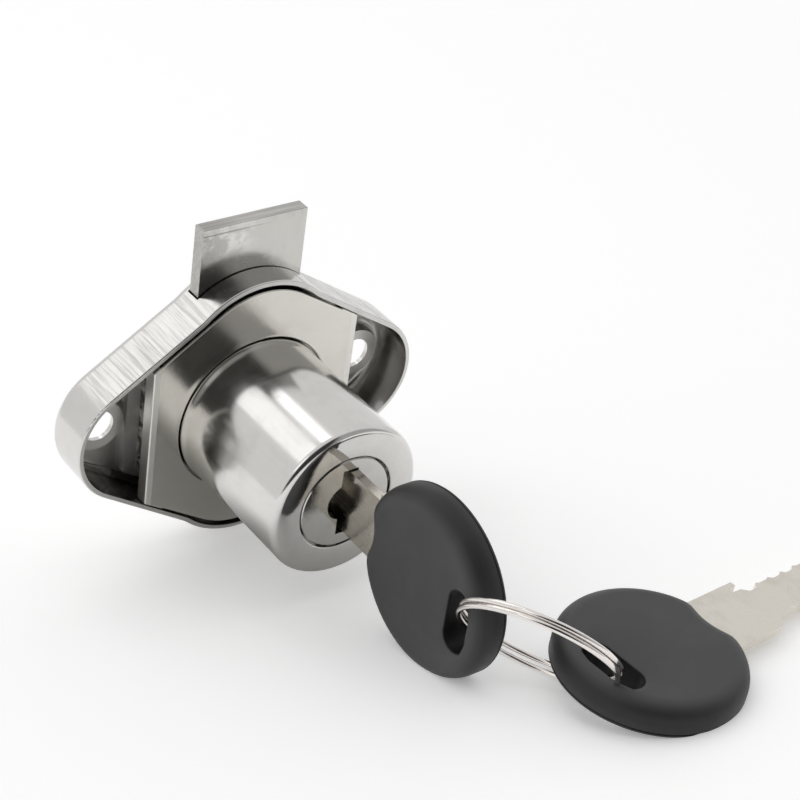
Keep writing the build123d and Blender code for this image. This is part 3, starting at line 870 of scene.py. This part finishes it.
def surface(name: str, points: np.ndarray, round_rows: bool, capped: bool = False, crease: float = 35.0,
            marks: Optional[np.ndarray] = None) -> bpy.types.Object:
    """Make a closed piece from a grid of points.

    Args:
        name: The piece's name.
        points: Rows by columns by three; every row closes on itself.
        round_rows: Whether the last row also joins the first one.
        capped: Whether the first and last rows are closed by a flat face.
        crease: Angle in degrees from which an edge stays sharp.
        marks: One number for each row, kept as the attribute "inside" for the material's painted shade.

    Returns:
        The piece, with its faces outwards.
    """
    row_count, column_count = points.shape[:2]
    last = row_count if round_rows else row_count - 1
    i, j = np.meshgrid(np.arange(last), np.arange(column_count), indexing="ij")
    below, beside = (i + 1) % row_count, (j + 1) % column_count
    quads = np.stack([i * column_count + j, i * column_count + beside, below * column_count + beside,
                      below * column_count + j], -1).reshape(-1, 4)
    flat = points.reshape(-1, 3)
    corners = flat[quads]
    volume = sum(np.einsum("ij,ij->i", corners[:, 0], np.cross(corners[:, a], corners[:, b])).sum()
                 for a, b in ((1, 2), (2, 3)))
    faces = quads.tolist()
    if capped:
        first = np.arange(column_count)[::-1]
        faces += [first.tolist(), (np.arange(column_count) + (row_count - 1) * column_count).tolist()]
    if volume < 0:
        faces = [face[::-1] for face in faces]
    mesh = bpy.data.meshes.new(name)
    mesh.from_pydata(flat.tolist(), [], faces)
    mesh.shade_smooth()
    mesh.set_sharp_from_angle(angle=math.radians(crease))
    # Each row's share of painted shade is kept for the material.
    if marks is not None:
        layer = mesh.attributes.new("inside", "FLOAT", "POINT")
        layer.data.foreach_set("value", np.repeat(marks, column_count).astype(np.float32))
    piece = bpy.data.objects.new(name, mesh)
    bpy.context.scene.collection.objects.link(piece)
    return piece


def turned(profile: np.ndarray, spokes: int, centre: Pair = (0.0, 0.0)) -> np.ndarray:
    """Turn a profile about the depth axis: P(s, v) = (x + r(s) cos v, y(s), z + r(s) sin v).

    Args:
        profile: Radius and depth, a row for each point.
        spokes: Points round the axis.
        centre: Place of the axis, as x and z.

    Returns:
        Grid of points, one row for each point of the profile.
    """
    r, y = (column[:, None] for column in profile.T)
    v = np.linspace(0.0, FULL_TURN, spokes, endpoint=False)[None, :]
    return np.stack([centre[0] + r * np.cos(v), y + 0.0 * v, centre[1] + r * np.sin(v)], -1)


def rounded(start: Pair, corner: Pair, end: Pair, steps: int) -> np.ndarray:
    """Round a corner with a quarter ellipse: P(u) = C + (S - C) (1 - sin u) + (E - C) (1 - cos u).

    Args:
        start: S, where the round leaves its first side.
        corner: C, the sharp corner.
        end: E, where the round meets its second side.
        steps: Points along it.

    Returns:
        Points, one a row, for u from 0 to a right angle.
    """
    u = np.linspace(0.0, math.pi / 2, steps)[:, None]
    s, c, e = (np.array(point, dtype=float) for point in (start, corner, end))
    return c + (s - c) * (1.0 - np.sin(u)) + (e - c) * (1.0 - np.cos(u))


def tube(path: np.ndarray, radius: float, sides: int) -> np.ndarray:
    """A round wire along a path: P(s, v) = C(s) + r (N(s) cos v + B(s) sin v), N square to the path.

    Args:
        path: Points of the middle line.
        radius: The wire's radius.
        sides: Points round the wire.

    Returns:
        Grid of points, one row for each point of the path.
    """
    ahead = np.gradient(path, axis=0)
    ahead /= np.linalg.norm(ahead, axis=1, keepdims=True)
    out = path - path.mean(axis=0)
    out -= ahead * np.einsum("ij,ij->i", out, ahead)[:, None]
    out /= np.linalg.norm(out, axis=1, keepdims=True)
    other = np.cross(ahead, out)
    v = np.linspace(0.0, FULL_TURN, sides, endpoint=False)[None, :, None]
    return path[:, None] + radius * (out[:, None] * np.cos(v) + other[:, None] * np.sin(v))


@dataclass
class BarrelShell:
    """The drawn cap over the barrel, with a soft flare at its foot and a rolled front edge.

    Attributes:
        dresser: What gives it its finish.
        radius: Outer radius of the straight wall.
        wall: Thickness of the sheet.
        hole: Radius of the hole round the plug.
        face: Depth of the front face.
        edge: Radius of the rolled front edge.
        edge_steps: Points along that edge.
        lip: Radius of the round at the hole.
        lip_steps: Points along that round.
        foot: Outer radius at the plate.
        flare: Length over which the wall widens to the foot.
        flare_steps: Points along the flare.
        collar_end: Depth at which the hidden collar begins.
        rim: Radius of the collar.
        spokes: Points round the barrel.
    """

    dresser: Dresser
    radius: float = 10.0 * MM
    wall: float = 0.5 * MM
    hole: float = 6.25 * MM
    face: float = -19.6 * MM
    edge: float = 0.9 * MM
    edge_steps: int = 12
    lip: float = 0.12 * MM
    lip_steps: int = 5
    foot: float = 10.2 * MM
    flare: float = 1.4 * MM
    flare_steps: int = 9
    collar_end: float = 1.7 * MM
    rim: float = 11.0 * MM
    spokes: int = 192

    def profile(self) -> np.ndarray:
        """Draw the wall's outline; the flare's radius is r + (foot - r) (3 u u - 2 u u u).

        Returns:
            Radius and depth, a row for each point, from the hole round to the hole again.
        """
        u = np.linspace(0.0, 1.0, self.flare_steps)
        flare = np.stack([self.radius + (self.foot - self.radius) * u * u * (3.0 - 2.0 * u),
                          self.flare * (u - 1.0)], -1)
        front = rounded((self.radius - self.edge, self.face), (self.radius, self.face),
                        (self.radius, self.face + self.edge), self.edge_steps)
        mouth = rounded((self.hole, self.face + self.lip), (self.hole, self.face),
                        (self.hole + self.lip, self.face), self.lip_steps)
        inner = self.radius - self.wall
        end = self.collar_end + self.wall
        rest = np.array([(self.foot, self.collar_end), (self.rim, self.collar_end), (self.rim, end),
                         (inner, end), (inner, self.face + self.wall), (self.hole, self.face + self.wall)])
        return np.vstack([mouth, front, flare, rest])

    def build(self) -> None:
        """Turn the outline about the barrel's axis."""
        piece = surface("shell_cap", turned(self.profile(), self.spokes), round_rows=True)
        self.dresser.dress(piece, Finish.SHELL, "lock", "barrel_shell")


@dataclass
class CaseRivets:
    """Four rivets that hold the plates and the casting in the cup, their heads peened round.

    Attributes:
        dresser: What gives them their finish.
        pin: Radius of the pin.
        head: Radius of the head.
        rise: Height of the head.
        peen: Power that fills out the head's dome.
        point: Radius of the flat that closes either end.
        dome_steps: Points along the dome.
        spokes: Points round a rivet.
    """

    dresser: Dresser
    pin: float = 1.2 * MM
    head: float = 2.1 * MM
    rise: float = 0.7 * MM
    peen: float = 0.8
    point: float = 0.02 * MM
    dome_steps: int = 12
    spokes: int = 48

    def profile(self, front: float, back: float) -> np.ndarray:
        """Draw a straight pin and a domed head: (head cos(u) to the power of peen, under + rise sin u).

        Args:
            front: Depth of the pin's front end.
            back: Depth of the head's top.

        Returns:
            Radius and depth, a row for each point.
        """
        under = back - self.rise
        t = np.linspace(0.0, 1.0, self.dome_steps)
        dome = np.stack([self.head * np.cos(t * math.pi / 2) ** self.peen,
                         under + self.rise * np.sin(t * math.pi / 2)], -1)
        dome[-1, 0] = self.point
        return np.vstack([[(self.point, front), (self.pin, front), (self.pin, under)], dome])

    def build(self) -> None:
        """Turn the outline about each corner of the rivets' box."""
        low, high = (np.array(corner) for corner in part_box("case_rivets"))
        places = [(x, z) for x in (low[0] + self.head, high[0] - self.head)
                  for z in (low[2] + self.head, high[2] - self.head)]
        profile = self.profile(low[1], high[1])
        for number, place in enumerate(places, 1):
            piece = surface(f"case_rivet_{number}", turned(profile, self.spokes, place), round_rows=False,
                            capped=True)
            self.dresser.dress(piece, Finish.RIVET, "lock", *(["case_rivets"] if number == 1 else []))


@dataclass
class WaferSprings:
    """The wound springs under the wafers' wings.

    Attributes:
        dresser: What gives them their finish.
        wire: Radius of the wire.
        turns: Turns of a spring.
        ground: Share of the wire that lies flat at either end.
        steps: Points along the wire.
        sides: Points round the wire.
    """

    dresser: Dresser
    wire: float = 0.1 * MM
    turns: float = 5.0
    ground: float = 0.1
    steps: int = 150
    sides: int = 8

    def build(self) -> None:
        """Wind a spring in each tube's place: C(t) = (R cos 2 pi n t, R sin 2 pi n t, from end to end)."""
        low, high = (np.array(corner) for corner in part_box("wafer_springs"))
        t = np.linspace(0.0, 1.0, self.steps)
        radius = (high[0] - low[0]) / 2 - self.wire
        turn = FULL_TURN * self.turns * t
        rise = np.clip((t - self.ground) / (1.0 - 2 * self.ground), 0.0, 1.0)
        height = low[2] + self.wire + (high[2] - low[2] - 2 * self.wire) * rise
        for number in range(1, WAFERS + 1):
            start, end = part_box(f"wafer_{number}")
            path = np.stack([(low[0] + high[0]) / 2 + radius * np.cos(turn),
                             (start[1] + end[1]) / 2 + radius * np.sin(turn), height], -1)
            piece = surface(f"wafer_spring_{number}", tube(path, self.wire, self.sides), round_rows=False,
                            capped=True)
            self.dresser.dress(piece, Finish.SPRING, "plug", *(["wafer_springs"] if number == 1 else []))


@dataclass
class SplitRing:
    """Two turns of round wire side by side, their ends cut square.

    Attributes:
        dresser: What gives it its finish.
        centre: Middle of the ring.
        normal: Direction square to the ring.
        reach: Direction whose part square to the normal lies at 90 degrees.
        radius: Radius of the wire's middle line.
        wire: Radius of the wire.
        pitch: Distance between the two turns where they lie closest.
        spread: How much further apart they stand on the far side.
        closest: Angle in degrees at which they lie closest.
        step_at: Angle in degrees of the step from one turn to the other.
        step: Length of the step in degrees.
        gap: Degrees between the step and either end of the wire.
        steps: Points along the wire.
        sides: Points round the wire.
    """

    dresser: Dresser
    centre: Triple = (3.09 * MM, -50.77 * MM, 2.06 * MM)
    normal: Triple = (0.705, 0.415, 0.575)
    reach: Triple = (0.3, 0.2, 1.0)
    radius: float = 9.05 * MM
    wire: float = 0.33 * MM
    pitch: float = 0.64 * MM
    spread: float = 0.34 * MM
    closest: float = 90.0
    step_at: float = 232.0
    step: float = 36.0
    gap: float = 2.0
    steps: int = 420
    sides: int = 16

    def path(self) -> np.ndarray:
        """Draw the middle line over two turns: C(t) = O + R (U cos t + W sin t) + N h(t).

        Returns:
            Points, one a row. Their height h goes from half the pitch to minus half of it over the step,
            and each turn stands a little further out on the far side.
        """
        n = np.array(self.normal) / np.linalg.norm(self.normal)
        u = np.cross(np.array(self.reach), n)
        u /= np.linalg.norm(u)
        w = np.cross(n, u)
        ends = self.step / 2 + self.gap
        angle = np.radians(np.linspace(self.step_at - 360.0 + ends, self.step_at + 360.0 - ends, self.steps))
        past = np.degrees(angle) - self.step_at
        share = np.clip(past / self.step + 0.5, 0.0, 1.0)
        side = 1.0 - 2.0 * share * share * (3.0 - 2.0 * share)
        far = 0.5 - 0.5 * np.cos(angle - math.radians(self.closest))
        height = side * (self.pitch + self.spread * far) / 2
        turn = (np.cos(angle)[:, None] * u + np.sin(angle)[:, None] * w) * self.radius
        return np.array(self.centre) + turn + height[:, None] * n

    def build(self) -> None:
        """Draw the wire along its path."""
        piece = surface("ring_wire", tube(self.path(), self.wire, self.sides), round_rows=False, capped=True)
        self.dresser.dress(piece, Finish.RING, "ring", "split_ring")


@dataclass
class KeyBow:
    """A key's moulded bow: a round head with a waist, a slot for the ring and a shallow base under it.

    Attributes:
        dresser: What gives it its finish.
        key: The key that it belongs to.
        centre: Middle of the bow.
        out: Direction away from the blade.
        across: Direction across the blade, in the bow's plane.
        radius: Radius of the head.
        half_thick: Half the bow's thickness.
        parting: Height of the joint between cover and base.
        waist_radius: Radius of the hollow at the waist.
        waist_at: Middle of that hollow, along out and across.
        waist_round: Size of the round between head and waist.
        slot_at: Middle of the slot, along out and across.
        slot_width: Width of the slot.
        slot_length: Length of the slot.
        slot_lead: Size of the slot's broken edge.
        lead_bend: Share of that size at which the edge bends.
        face_round: Width of the round from the face to the side.
        face_fall: Depth of that round.
        face_steps: Points along it.
        face_edge: Distance at which the flat face ends before the round.
        base_round: Width of the base's round.
        base_fall: Depth of the base's round.
        base_steps: Points along it.
        seam: Size of the groove at the joint.
        side_shade: Painted shade on the side, where 1 is that in the slot.
        side_shade_fade: Shares of that shade at the start and end of the face's round, kept from 0 to 1.
        wall_shade: Painted shade on the side next to the joint.
        miss_reach: Distance, in radii, that stands for a line that misses a circle.
        miss_growth: How fast that distance grows with the miss.
        crease: Angle in degrees from which an edge stays sharp.
        spokes: Points round the bow.
    """

    dresser: Dresser
    key: str
    centre: Triple
    out: Triple
    across: Triple
    radius: float = 11.06 * MM
    half_thick: float = 2.1 * MM
    parting: float = -1.25 * MM
    waist_radius: float = 5.8 * MM
    waist_at: Pair = (-15.6 * MM, 0.1 * MM)
    waist_round: float = 0.5 * MM
    slot_at: Pair = (6.95 * MM, 0.2 * MM)
    slot_width: float = 3.5 * MM
    slot_length: float = 8.1 * MM
    slot_lead: float = 0.2 * MM
    lead_bend: float = 0.3
    face_round: float = 2.05 * MM
    face_fall: float = 2.2 * MM
    face_steps: int = 16
    face_edge: float = 0.05 * MM
    base_round: float = 1.7 * MM
    base_fall: float = 0.8 * MM
    base_steps: int = 8
    seam: float = 0.12 * MM
    side_shade: float = 0.66
    side_shade_fade: Pair = (-0.6, 2.0)
    wall_shade: float = 0.3
    miss_reach: float = 4.0
    miss_growth: float = 20.0
    crease: float = 24.0
    spokes: int = 200

    def outline(self, angle: np.ndarray, inset: np.ndarray) -> np.ndarray:
        """Distance from the slot's middle to the bow's edge.

        The head is met at t = sqrt((R - e)(R - e) - d d) - m for a line that passes the head's middle at d,
        and the waist where it is nearer, at t = m - sqrt((r + e)(r + e) - d d). The two are joined by the
        smooth minimum (a + b - sqrt((a - b)(a - b) + k k)) / 2.

        Args:
            angle: Direction from the slot's middle.
            inset: Distance in from the edge.

        Returns:
            The distance for every pair of angle and inset.
        """
        way = np.stack([np.cos(angle), np.sin(angle)], -1)
        found = []
        for middle, size, side in (((0.0, 0.0), self.radius - inset, 1.0),
                                   (self.waist_at, self.waist_radius + inset, -1.0)):
            offset = np.array(middle) - np.array(self.slot_at)
            along = way @ offset
            inside = size ** 2 - (offset @ offset - along ** 2)
            reach = along + side * np.sqrt(np.maximum(inside, 0.0))
            missed = (inside < 0.0) | (along < 0.0) if side < 0.0 else inside < 0.0
            past = self.miss_growth * np.maximum(-inside, 0.0) / self.radius
            found.append(np.where(missed, self.miss_reach * self.radius + past, reach))
        head, waist = found
        return (head + waist - np.sqrt((head - waist) ** 2 + self.waist_round ** 2)) / 2

    def slot(self, angle: np.ndarray, grow: np.ndarray) -> np.ndarray:
        """Distance from the slot's middle to its edge: two straight sides and two half circles.

        Args:
            angle: Direction from the slot's middle.
            grow: Distance out from the slot's wall.

        Returns:
            The distance for every pair of angle and growth.
        """
        ca, sa = np.abs(np.cos(angle)), np.abs(np.sin(angle))
        half = (self.slot_length - self.slot_width) / 2
        size = self.slot_width / 2 + grow
        straight = size / np.maximum(ca, NEAR_ZERO)
        round_end = half * sa + np.sqrt(np.maximum(size ** 2 - (half * ca) ** 2, 0.0))
        return np.where(straight * sa <= half, straight, round_end)

    def base_section(self) -> np.ndarray:
        """Draw the base's section, from the joint down the slot, under the bow and up its side.

        Returns:
            A row for each ring of points: share of the way from slot to edge, the slot's growth, the edge's
            inset, the height and the darkness.
        """
        top, low = self.parting, -self.half_thick
        # The last number of each row is painted shade: full in the slot and the joint's groove, less on the
        # side.
        rows = [(0.0, 0.0, 0.0, top, 1.0), (0.0, 0.0, 0.0, low + self.slot_lead, 1.0),
                (0.0, self.slot_lead, 0.0, low, 0.0)]
        edge = rounded((self.base_round, low), (0.0, low), (0.0, low + self.base_fall), self.base_steps)
        rows += [(1.0, 0.0, inset, height, self.side_shade) for inset, height in edge]
        rows += [(1.0, 0.0, 0.0, top - self.seam, self.wall_shade), (1.0, 0.0, self.seam, top, 1.0)]
        return np.array(rows)

    def cover_section(self) -> np.ndarray:
        """Draw the cover's section, from the joint up the slot, over the face and down its side.

        Returns:
            Rows as the base's section has them.
        """
        top, low, lead = self.half_thick, self.parting, self.slot_lead
        bend = self.lead_bend * lead
        # The last number of each row is painted shade, as in the base's section.
        rows = [(0.0, 0.0, 0.0, low, 1.0), (0.0, 0.0, 0.0, top - 2 * lead, 1.0),
                (0.0, 0.0, 0.0, top - lead, 1.0), (0.0, bend, 0.0, top - bend, 0.5),
                (0.0, lead, 0.0, top, 0.0), (0.5, lead, self.face_round, top, 0.0),
                (1.0, 0.0, self.face_round + self.face_edge, top, 0.0)]
        edge = rounded((self.face_round, top), (0.0, top), (0.0, top - self.face_fall), self.face_steps)
        fade = self.side_shade * np.clip(np.linspace(*self.side_shade_fade, self.face_steps), 0.0, 1.0)
        rows += [(1.0, 0.0, inset, height, dark) for (inset, height), dark in zip(edge, fade)]
        rows += [(1.0, 0.0, 0.0, low + self.seam, self.wall_shade), (1.0, 0.0, self.seam, low, 1.0)]
        return np.array(rows)

    def build(self) -> None:
        """Make the cover and the base: P = M + slot's middle + t (out cos v + across sin v) + z face."""
        out, across = np.array(self.out), np.array(self.across)
        face = np.cross(out, across)
        middle = np.array(self.centre) + self.slot_at[0] * out + self.slot_at[1] * across
        angle = np.linspace(0.0, FULL_TURN, self.spokes, endpoint=False)[None, :]
        way = np.cos(angle)[..., None] * out + np.sin(angle)[..., None] * across
        for section, part in ((self.cover_section(), "bow_cover"), (self.base_section(), "bow_base")):
            # The last column, the painted shade, goes to the material as the attribute "inside".
            share, grow, inset, height, dark = (column[:, None] for column in section.T)
            edge = self.outline(angle + 0.0 * inset, inset + 0.0 * angle)
            reach = (1.0 - share) * self.slot(angle, grow) + share * edge
            points = middle + reach[..., None] * way + height[..., None] * face
            piece = surface(f"{self.key}_{part}_skin", points, round_rows=True, crease=self.crease,
                            marks=dark[:, 0])
            self.dresser.dress(piece, Finish.BOW, self.key, f"{self.key}_{part}")


@dataclass
class CaseSet:
    """The drawn cup and all that is riveted into it.

    Attributes:
        dresser: What gives the pieces their finishes.
    """

    dresser: Dresser

    def build(self) -> None:
        """Dress the case, its plates, the casting and the rivets, and make the barrel's shell."""
        finishes = {"back_case": Finish.CASE, "base_plate": Finish.INNER_PLATE, "housing": Finish.CASTING,
                    "front_plate": Finish.FRONT_PLATE}
        for node, finish in finishes.items():
            self.dresser.solid(node, finish)
        BarrelShell(self.dresser).build()
        CaseRivets(self.dresser).build()


@dataclass
class PlugSet:
    """The turning plug with its wafers, springs, cam and clip.

    Attributes:
        dresser: What gives the pieces their finishes.
    """

    dresser: Dresser

    def build(self) -> None:
        """Dress the plug and what turns with it."""
        finishes = {"plug": Finish.PLUG, "drive_cam": Finish.CASTING, "cam_clip": Finish.SPRING}
        finishes.update({f"wafer_{i}": Finish.WAFER for i in range(1, WAFERS + 1)})
        for node, finish in finishes.items():
            self.dresser.solid(node, finish)
        WaferSprings(self.dresser).build()


@dataclass
class SlidingBolt:
    """The bolt that stands out of the case.

    Attributes:
        dresser: What gives it its finish.
    """

    dresser: Dresser

    def build(self) -> None:
        """Dress the bolt."""
        self.dresser.solid("bolt", Finish.BOLT)


@dataclass
class KeySet:
    """Two keys and the ring that they hang on.

    Attributes:
        dresser: What gives the pieces their finishes.
        first: Middle of the bow of the key in the plug, which points straight out.
        second: Middle of the other key's bow.
        yaw: Degrees that the other key is turned from the left-right axis, seen from above.
        rise: Degrees that its bow rises towards its free end.
    """

    dresser: Dresser
    first: Triple = (0.6 * MM, -35.57 * MM, 0.1 * MM)
    second: Triple = (16.77 * MM, -54.66 * MM, -2.74 * MM)
    yaw: float = 5.7
    rise: float = 3.8

    def build(self) -> None:
        """Dress both blades, and make the bows and the ring."""
        for key in ("key_1", "key_2"):
            self.dresser.solid(f"{key}_blade", Finish.KEY)
        KeyBow(self.dresser, "key_1", self.first, TOWARDS_FRONT, UPWARDS).build()
        yaw, rise = math.radians(self.yaw), math.radians(self.rise)
        out = (-math.cos(yaw) * math.cos(rise), -math.sin(yaw) * math.cos(rise), math.sin(rise))
        KeyBow(self.dresser, "key_2", self.second, out, (math.sin(yaw), -math.cos(yaw), 0.0)).build()
        SplitRing(self.dresser).build()


@dataclass
class SoftBox:
    """A rectangular lamp that faces the lock.

    Attributes:
        name: The lamp's name.
        towards: Direction from the lock to the lamp.
        distance: How far away it stands.
        width: Its size across.
        length: Its size along the depth axis.
        radiance: Brightness of its face, where 1 is white.
    """

    name: str
    towards: Triple
    distance: float
    width: float
    length: float
    radiance: float

    def build(self) -> None:
        """Put the lamp up, its long side in the plane of the depth axis."""
        lamp = bpy.data.lights.new(self.name, "AREA")
        lamp.shape = "RECTANGLE"
        lamp.size = self.width
        lamp.size_y = self.length
        lamp.energy = self.radiance * math.pi * self.width * self.length
        stand = bpy.data.objects.new(self.name, lamp)
        back = Vector(self.towards).normalized()
        across = Vector((0.0, 1.0, 0.0)).cross(back).normalized()
        long_side = back.cross(across)
        turn = Matrix((across, long_side, back)).transposed().to_4x4()
        stand.matrix_world = Matrix.Translation(back * self.distance) @ turn
        stand.visible_camera = False
        bpy.context.scene.collection.objects.link(stand)
        LOG.info("%s stands %.2f m away", self.name, self.distance)


@dataclass
class PaperFloor:
    """A pale round floor that the keys lie on.

    Attributes:
        up: Direction square to the floor.
        foot: A place on the floor, and its middle.
        radius: Radius of the floor.
        rings: Rings of points, with the middle as the first.
        spokes: Points round each ring.
        lighting: Colour by which it lights the lock.
        seen: Colour that the eye and mirrors see.
        lift: Strength of the light that the eye and mirrors see it give.
        fade: Distances from the middle of the scene at which it begins and ends to fade from sight.
        shade_at: Middle of the darker patch that mirrors see close under the barrel.
        shade_reach: Distances at which the patch is full and at which it ends.
        shade: Colour of the patch.
    """

    up: Triple = FLOOR_UP
    foot: Triple = (0.0, 0.0, -18.05 * MM)
    radius: float = 0.9
    rings: int = 24
    spokes: int = 96
    lighting: Colour = (0.82, 0.82, 0.82)
    seen: Colour = (0.97, 0.97, 0.97)
    lift: float = 0.25
    fade: Pair = (0.18, 0.5)
    shade_at: Triple = (-2.0 * MM, -14.0 * MM, -15.0 * MM)
    shade_reach: Pair = (8.0 * MM, 30.0 * MM)
    shade: Colour = (0.66, 0.66, 0.65)

    def build(self) -> None:
        """Lay the floor: rings of points at r(t) = R t t, square to the up direction."""
        radius = self.radius * np.linspace(0.0, 1.0, self.rings)[1:, None] ** 2
        angle = np.linspace(0.0, FULL_TURN, self.spokes, endpoint=False)[None, :]
        side = np.array(TOWARDS_RIGHT)
        ahead = np.cross(np.array(self.up) / np.linalg.norm(self.up), side)
        points = (np.array(self.foot) + (radius * np.cos(angle))[..., None] * side
                  + (radius * np.sin(angle))[..., None] * ahead).reshape(-1, 3)
        points = np.vstack([points, np.array(self.foot)])
        r, s = np.meshgrid(np.arange(self.rings - 2), np.arange(self.spokes), indexing="ij")
        n = (s + 1) % self.spokes
        quads = np.stack([r * self.spokes + s, (r + 1) * self.spokes + s, (r + 1) * self.spokes + n,
                          r * self.spokes + n], -1)
        around = np.arange(self.spokes)
        middle = np.stack([np.full(self.spokes, len(points) - 1), around, (around + 1) % self.spokes], -1)
        mesh = bpy.data.meshes.new("floor")
        mesh.from_pydata(points.tolist(), [], quads.reshape(-1, 4).tolist() + middle.tolist())
        floor = bpy.data.objects.new("floor", mesh)
        bpy.context.scene.collection.objects.link(floor)
        mesh.materials.append(self.material())
        LOG.info("floor laid")

    def material(self) -> bpy.types.Material:
        """Make the paper.

        Returns:
            Matt white that lifts towards white for the eye, fades out at its edge and is clear from below.
            In mirrors it is darker close under the barrel, where little light reaches it.
        """
        material, g = new_material("floor_paper")
        place = g.add("ShaderNodeTexCoord").outputs["Object"]
        path = g.add("ShaderNodeLightPath")
        mirrored = path.outputs["Is Glossy Ray"]
        seen = g.math("MAXIMUM", path.outputs["Is Camera Ray"], path.outputs["Is Transmission Ray"])
        seen = g.math("MAXIMUM", seen, mirrored)
        away = g.vector_math("DISTANCE", place, self.shade_at).outputs["Value"]
        shade = g.times(mirrored, g.ramp(away, *self.shade_reach, 1.0, 0.0))
        colour = g.blend(shade, g.blend(seen, self.lighting, self.seen), self.shade)
        paper = g.add("ShaderNodeBsdfDiffuse", Color=colour)
        lift = g.times(seen, g.math("SUBTRACT", 1.0, shade), self.lift)
        glow = g.add("ShaderNodeEmission", Color=(1.0, 1.0, 1.0, 1.0), Strength=lift)
        sheet = g.add("ShaderNodeAddShader")
        g.feed(sheet, 0, paper.outputs[0])
        g.feed(sheet, 1, glow.outputs[0])
        far = g.ramp(g.vector_math("LENGTH", place).outputs["Value"], *self.fade)
        below = g.add("ShaderNodeNewGeometry").outputs["Backfacing"]
        hidden = g.math("MAXIMUM", g.times(far, seen), below)
        clear = g.add("ShaderNodeBsdfTransparent")
        mix = g.add("ShaderNodeMixShader", Fac=hidden)
        g.feed(mix, 1, sheet.outputs[0])
        g.feed(mix, 2, clear.outputs[0])
        g.add("ShaderNodeOutputMaterial", Surface=mix.outputs[0])
        return material


@dataclass
class Tent:
    """White all round for the eye; for light and reflections a bright tent with a dim side at the front.

    Attributes:
        up: Direction of the tent's top.
        bright: Level of the tent.
        dim: Level of its front side.
        dark: How much darker than dim the front side is towards the left.
        front: Lengths towards the front at which the dim side begins and is full.
        top: Heights at which the dim side ends above, and below which it is full.
        bottom: Heights at which the dim side begins below, and above which it is full.
        left: Lengths towards the right at which the dark part begins and is full.
    """

    up: Triple = FLOOR_UP
    bright: float = 0.80
    dim: float = 0.42
    dark: float = 0.38
    front: Pair = (0.15, 0.5)
    top: Pair = (0.97, 0.80)
    bottom: Pair = (-0.25, 0.0)
    left: Pair = (0.30, 0.12)

    def build(self) -> None:
        """Set the world, whose level follows the direction alone."""
        world = bpy.data.worlds.new("tent")
        bpy.context.scene.world = world
        world.use_nodes = True
        world.node_tree.nodes.clear()
        g = Graph(world.node_tree)
        way = g.add("ShaderNodeTexCoord").outputs["Generated"]
        height = g.dot(way, self.up)
        front = g.ramp(g.dot(way, TOWARDS_FRONT), *self.front)
        dim = g.times(front, g.ramp(height, *self.top), g.ramp(height, *self.bottom))
        level = g.ramp(dim, 0.0, 1.0, self.bright, self.dim)
        dark = g.times(dim, g.ramp(g.dot(way, TOWARDS_RIGHT), *self.left), self.dark)
        level = g.math("SUBTRACT", level, dark)
        eye = g.add("ShaderNodeLightPath").outputs["Is Camera Ray"]
        light = g.add("ShaderNodeBackground", Color=(1.0, 1.0, 1.0, 1.0),
                      Strength=g.math("MAXIMUM", level, eye))
        g.add("ShaderNodeOutputWorld", Surface=light.outputs[0])
        LOG.info("tent set")


@dataclass
class ViewCamera:
    """The camera, at the place and turn that the picture was taken from.

    Attributes:
        place: Where it stands.
        right: Direction of the picture's right side.
        up: Direction of the picture's top.
        back: Direction from the scene to the camera.
        focal: Focal length in millimetres.
        sensor: Width of the picture's sensor in millimetres.
        reach: Nearest and furthest distance that it sees.
    """

    place: Triple = (-0.12274, -0.16747, 0.14579)
    right: Triple = (0.80361027, -0.580743, 0.13018493)
    up: Triple = (0.24527105, 0.52245957, 0.81662605)
    back: Triple = (-0.54226622, -0.62431849, 0.56229332)
    focal: float = 94.92
    sensor: float = 36.0
    reach: Pair = (0.01, 10.0)

    def build(self) -> None:
        """Set the camera up and make it the scene's own."""
        camera = bpy.data.cameras.new("camera")
        camera.lens = self.focal
        camera.sensor_width = self.sensor
        camera.clip_start, camera.clip_end = self.reach
        holder = bpy.data.objects.new("camera", camera)
        turn = Matrix((self.right, self.up, self.back)).transposed().to_4x4()
        holder.matrix_world = Matrix.Translation(Vector(self.place)) @ turn
        bpy.context.scene.collection.objects.link(holder)
        bpy.context.scene.camera = holder
        LOG.info("camera set")


class Studio:
    """The floor, the tent, three lamps and the camera.

    Attributes:
        LAMPS: A wide lamp behind the lock to its left, a narrow one behind it and a square one to its left.
    """

    LAMPS = (
        SoftBox("key_box", (-0.38, 0.66, 0.65), distance=0.55, width=0.25, length=0.40, radiance=0.52),
        SoftBox("edge_box", (0.0, 0.65, 0.76), distance=0.55, width=0.12, length=0.40, radiance=1.0),
        SoftBox("front_box", (-0.75, -0.15, 0.75), distance=0.70, width=0.30, length=0.30, radiance=0.5),
    )

    def build(self) -> None:
        """Set up every part of the studio."""
        for part in (PaperFloor(), Tent(), *self.LAMPS, ViewCamera()):
            part.build()


def main() -> None:
    """Dress the lock part by part and set the studio."""
    logging.basicConfig(level=logging.INFO, format="%(name)s: %(message)s")
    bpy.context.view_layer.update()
    bpy.context.scene.view_settings.view_transform = "Standard"
    dresser = Dresser()
    for part in (CaseSet(dresser), PlugSet(dresser), SlidingBolt(dresser), KeySet(dresser), Studio()):
        part.build()


if __name__ == "__main__":
    main()
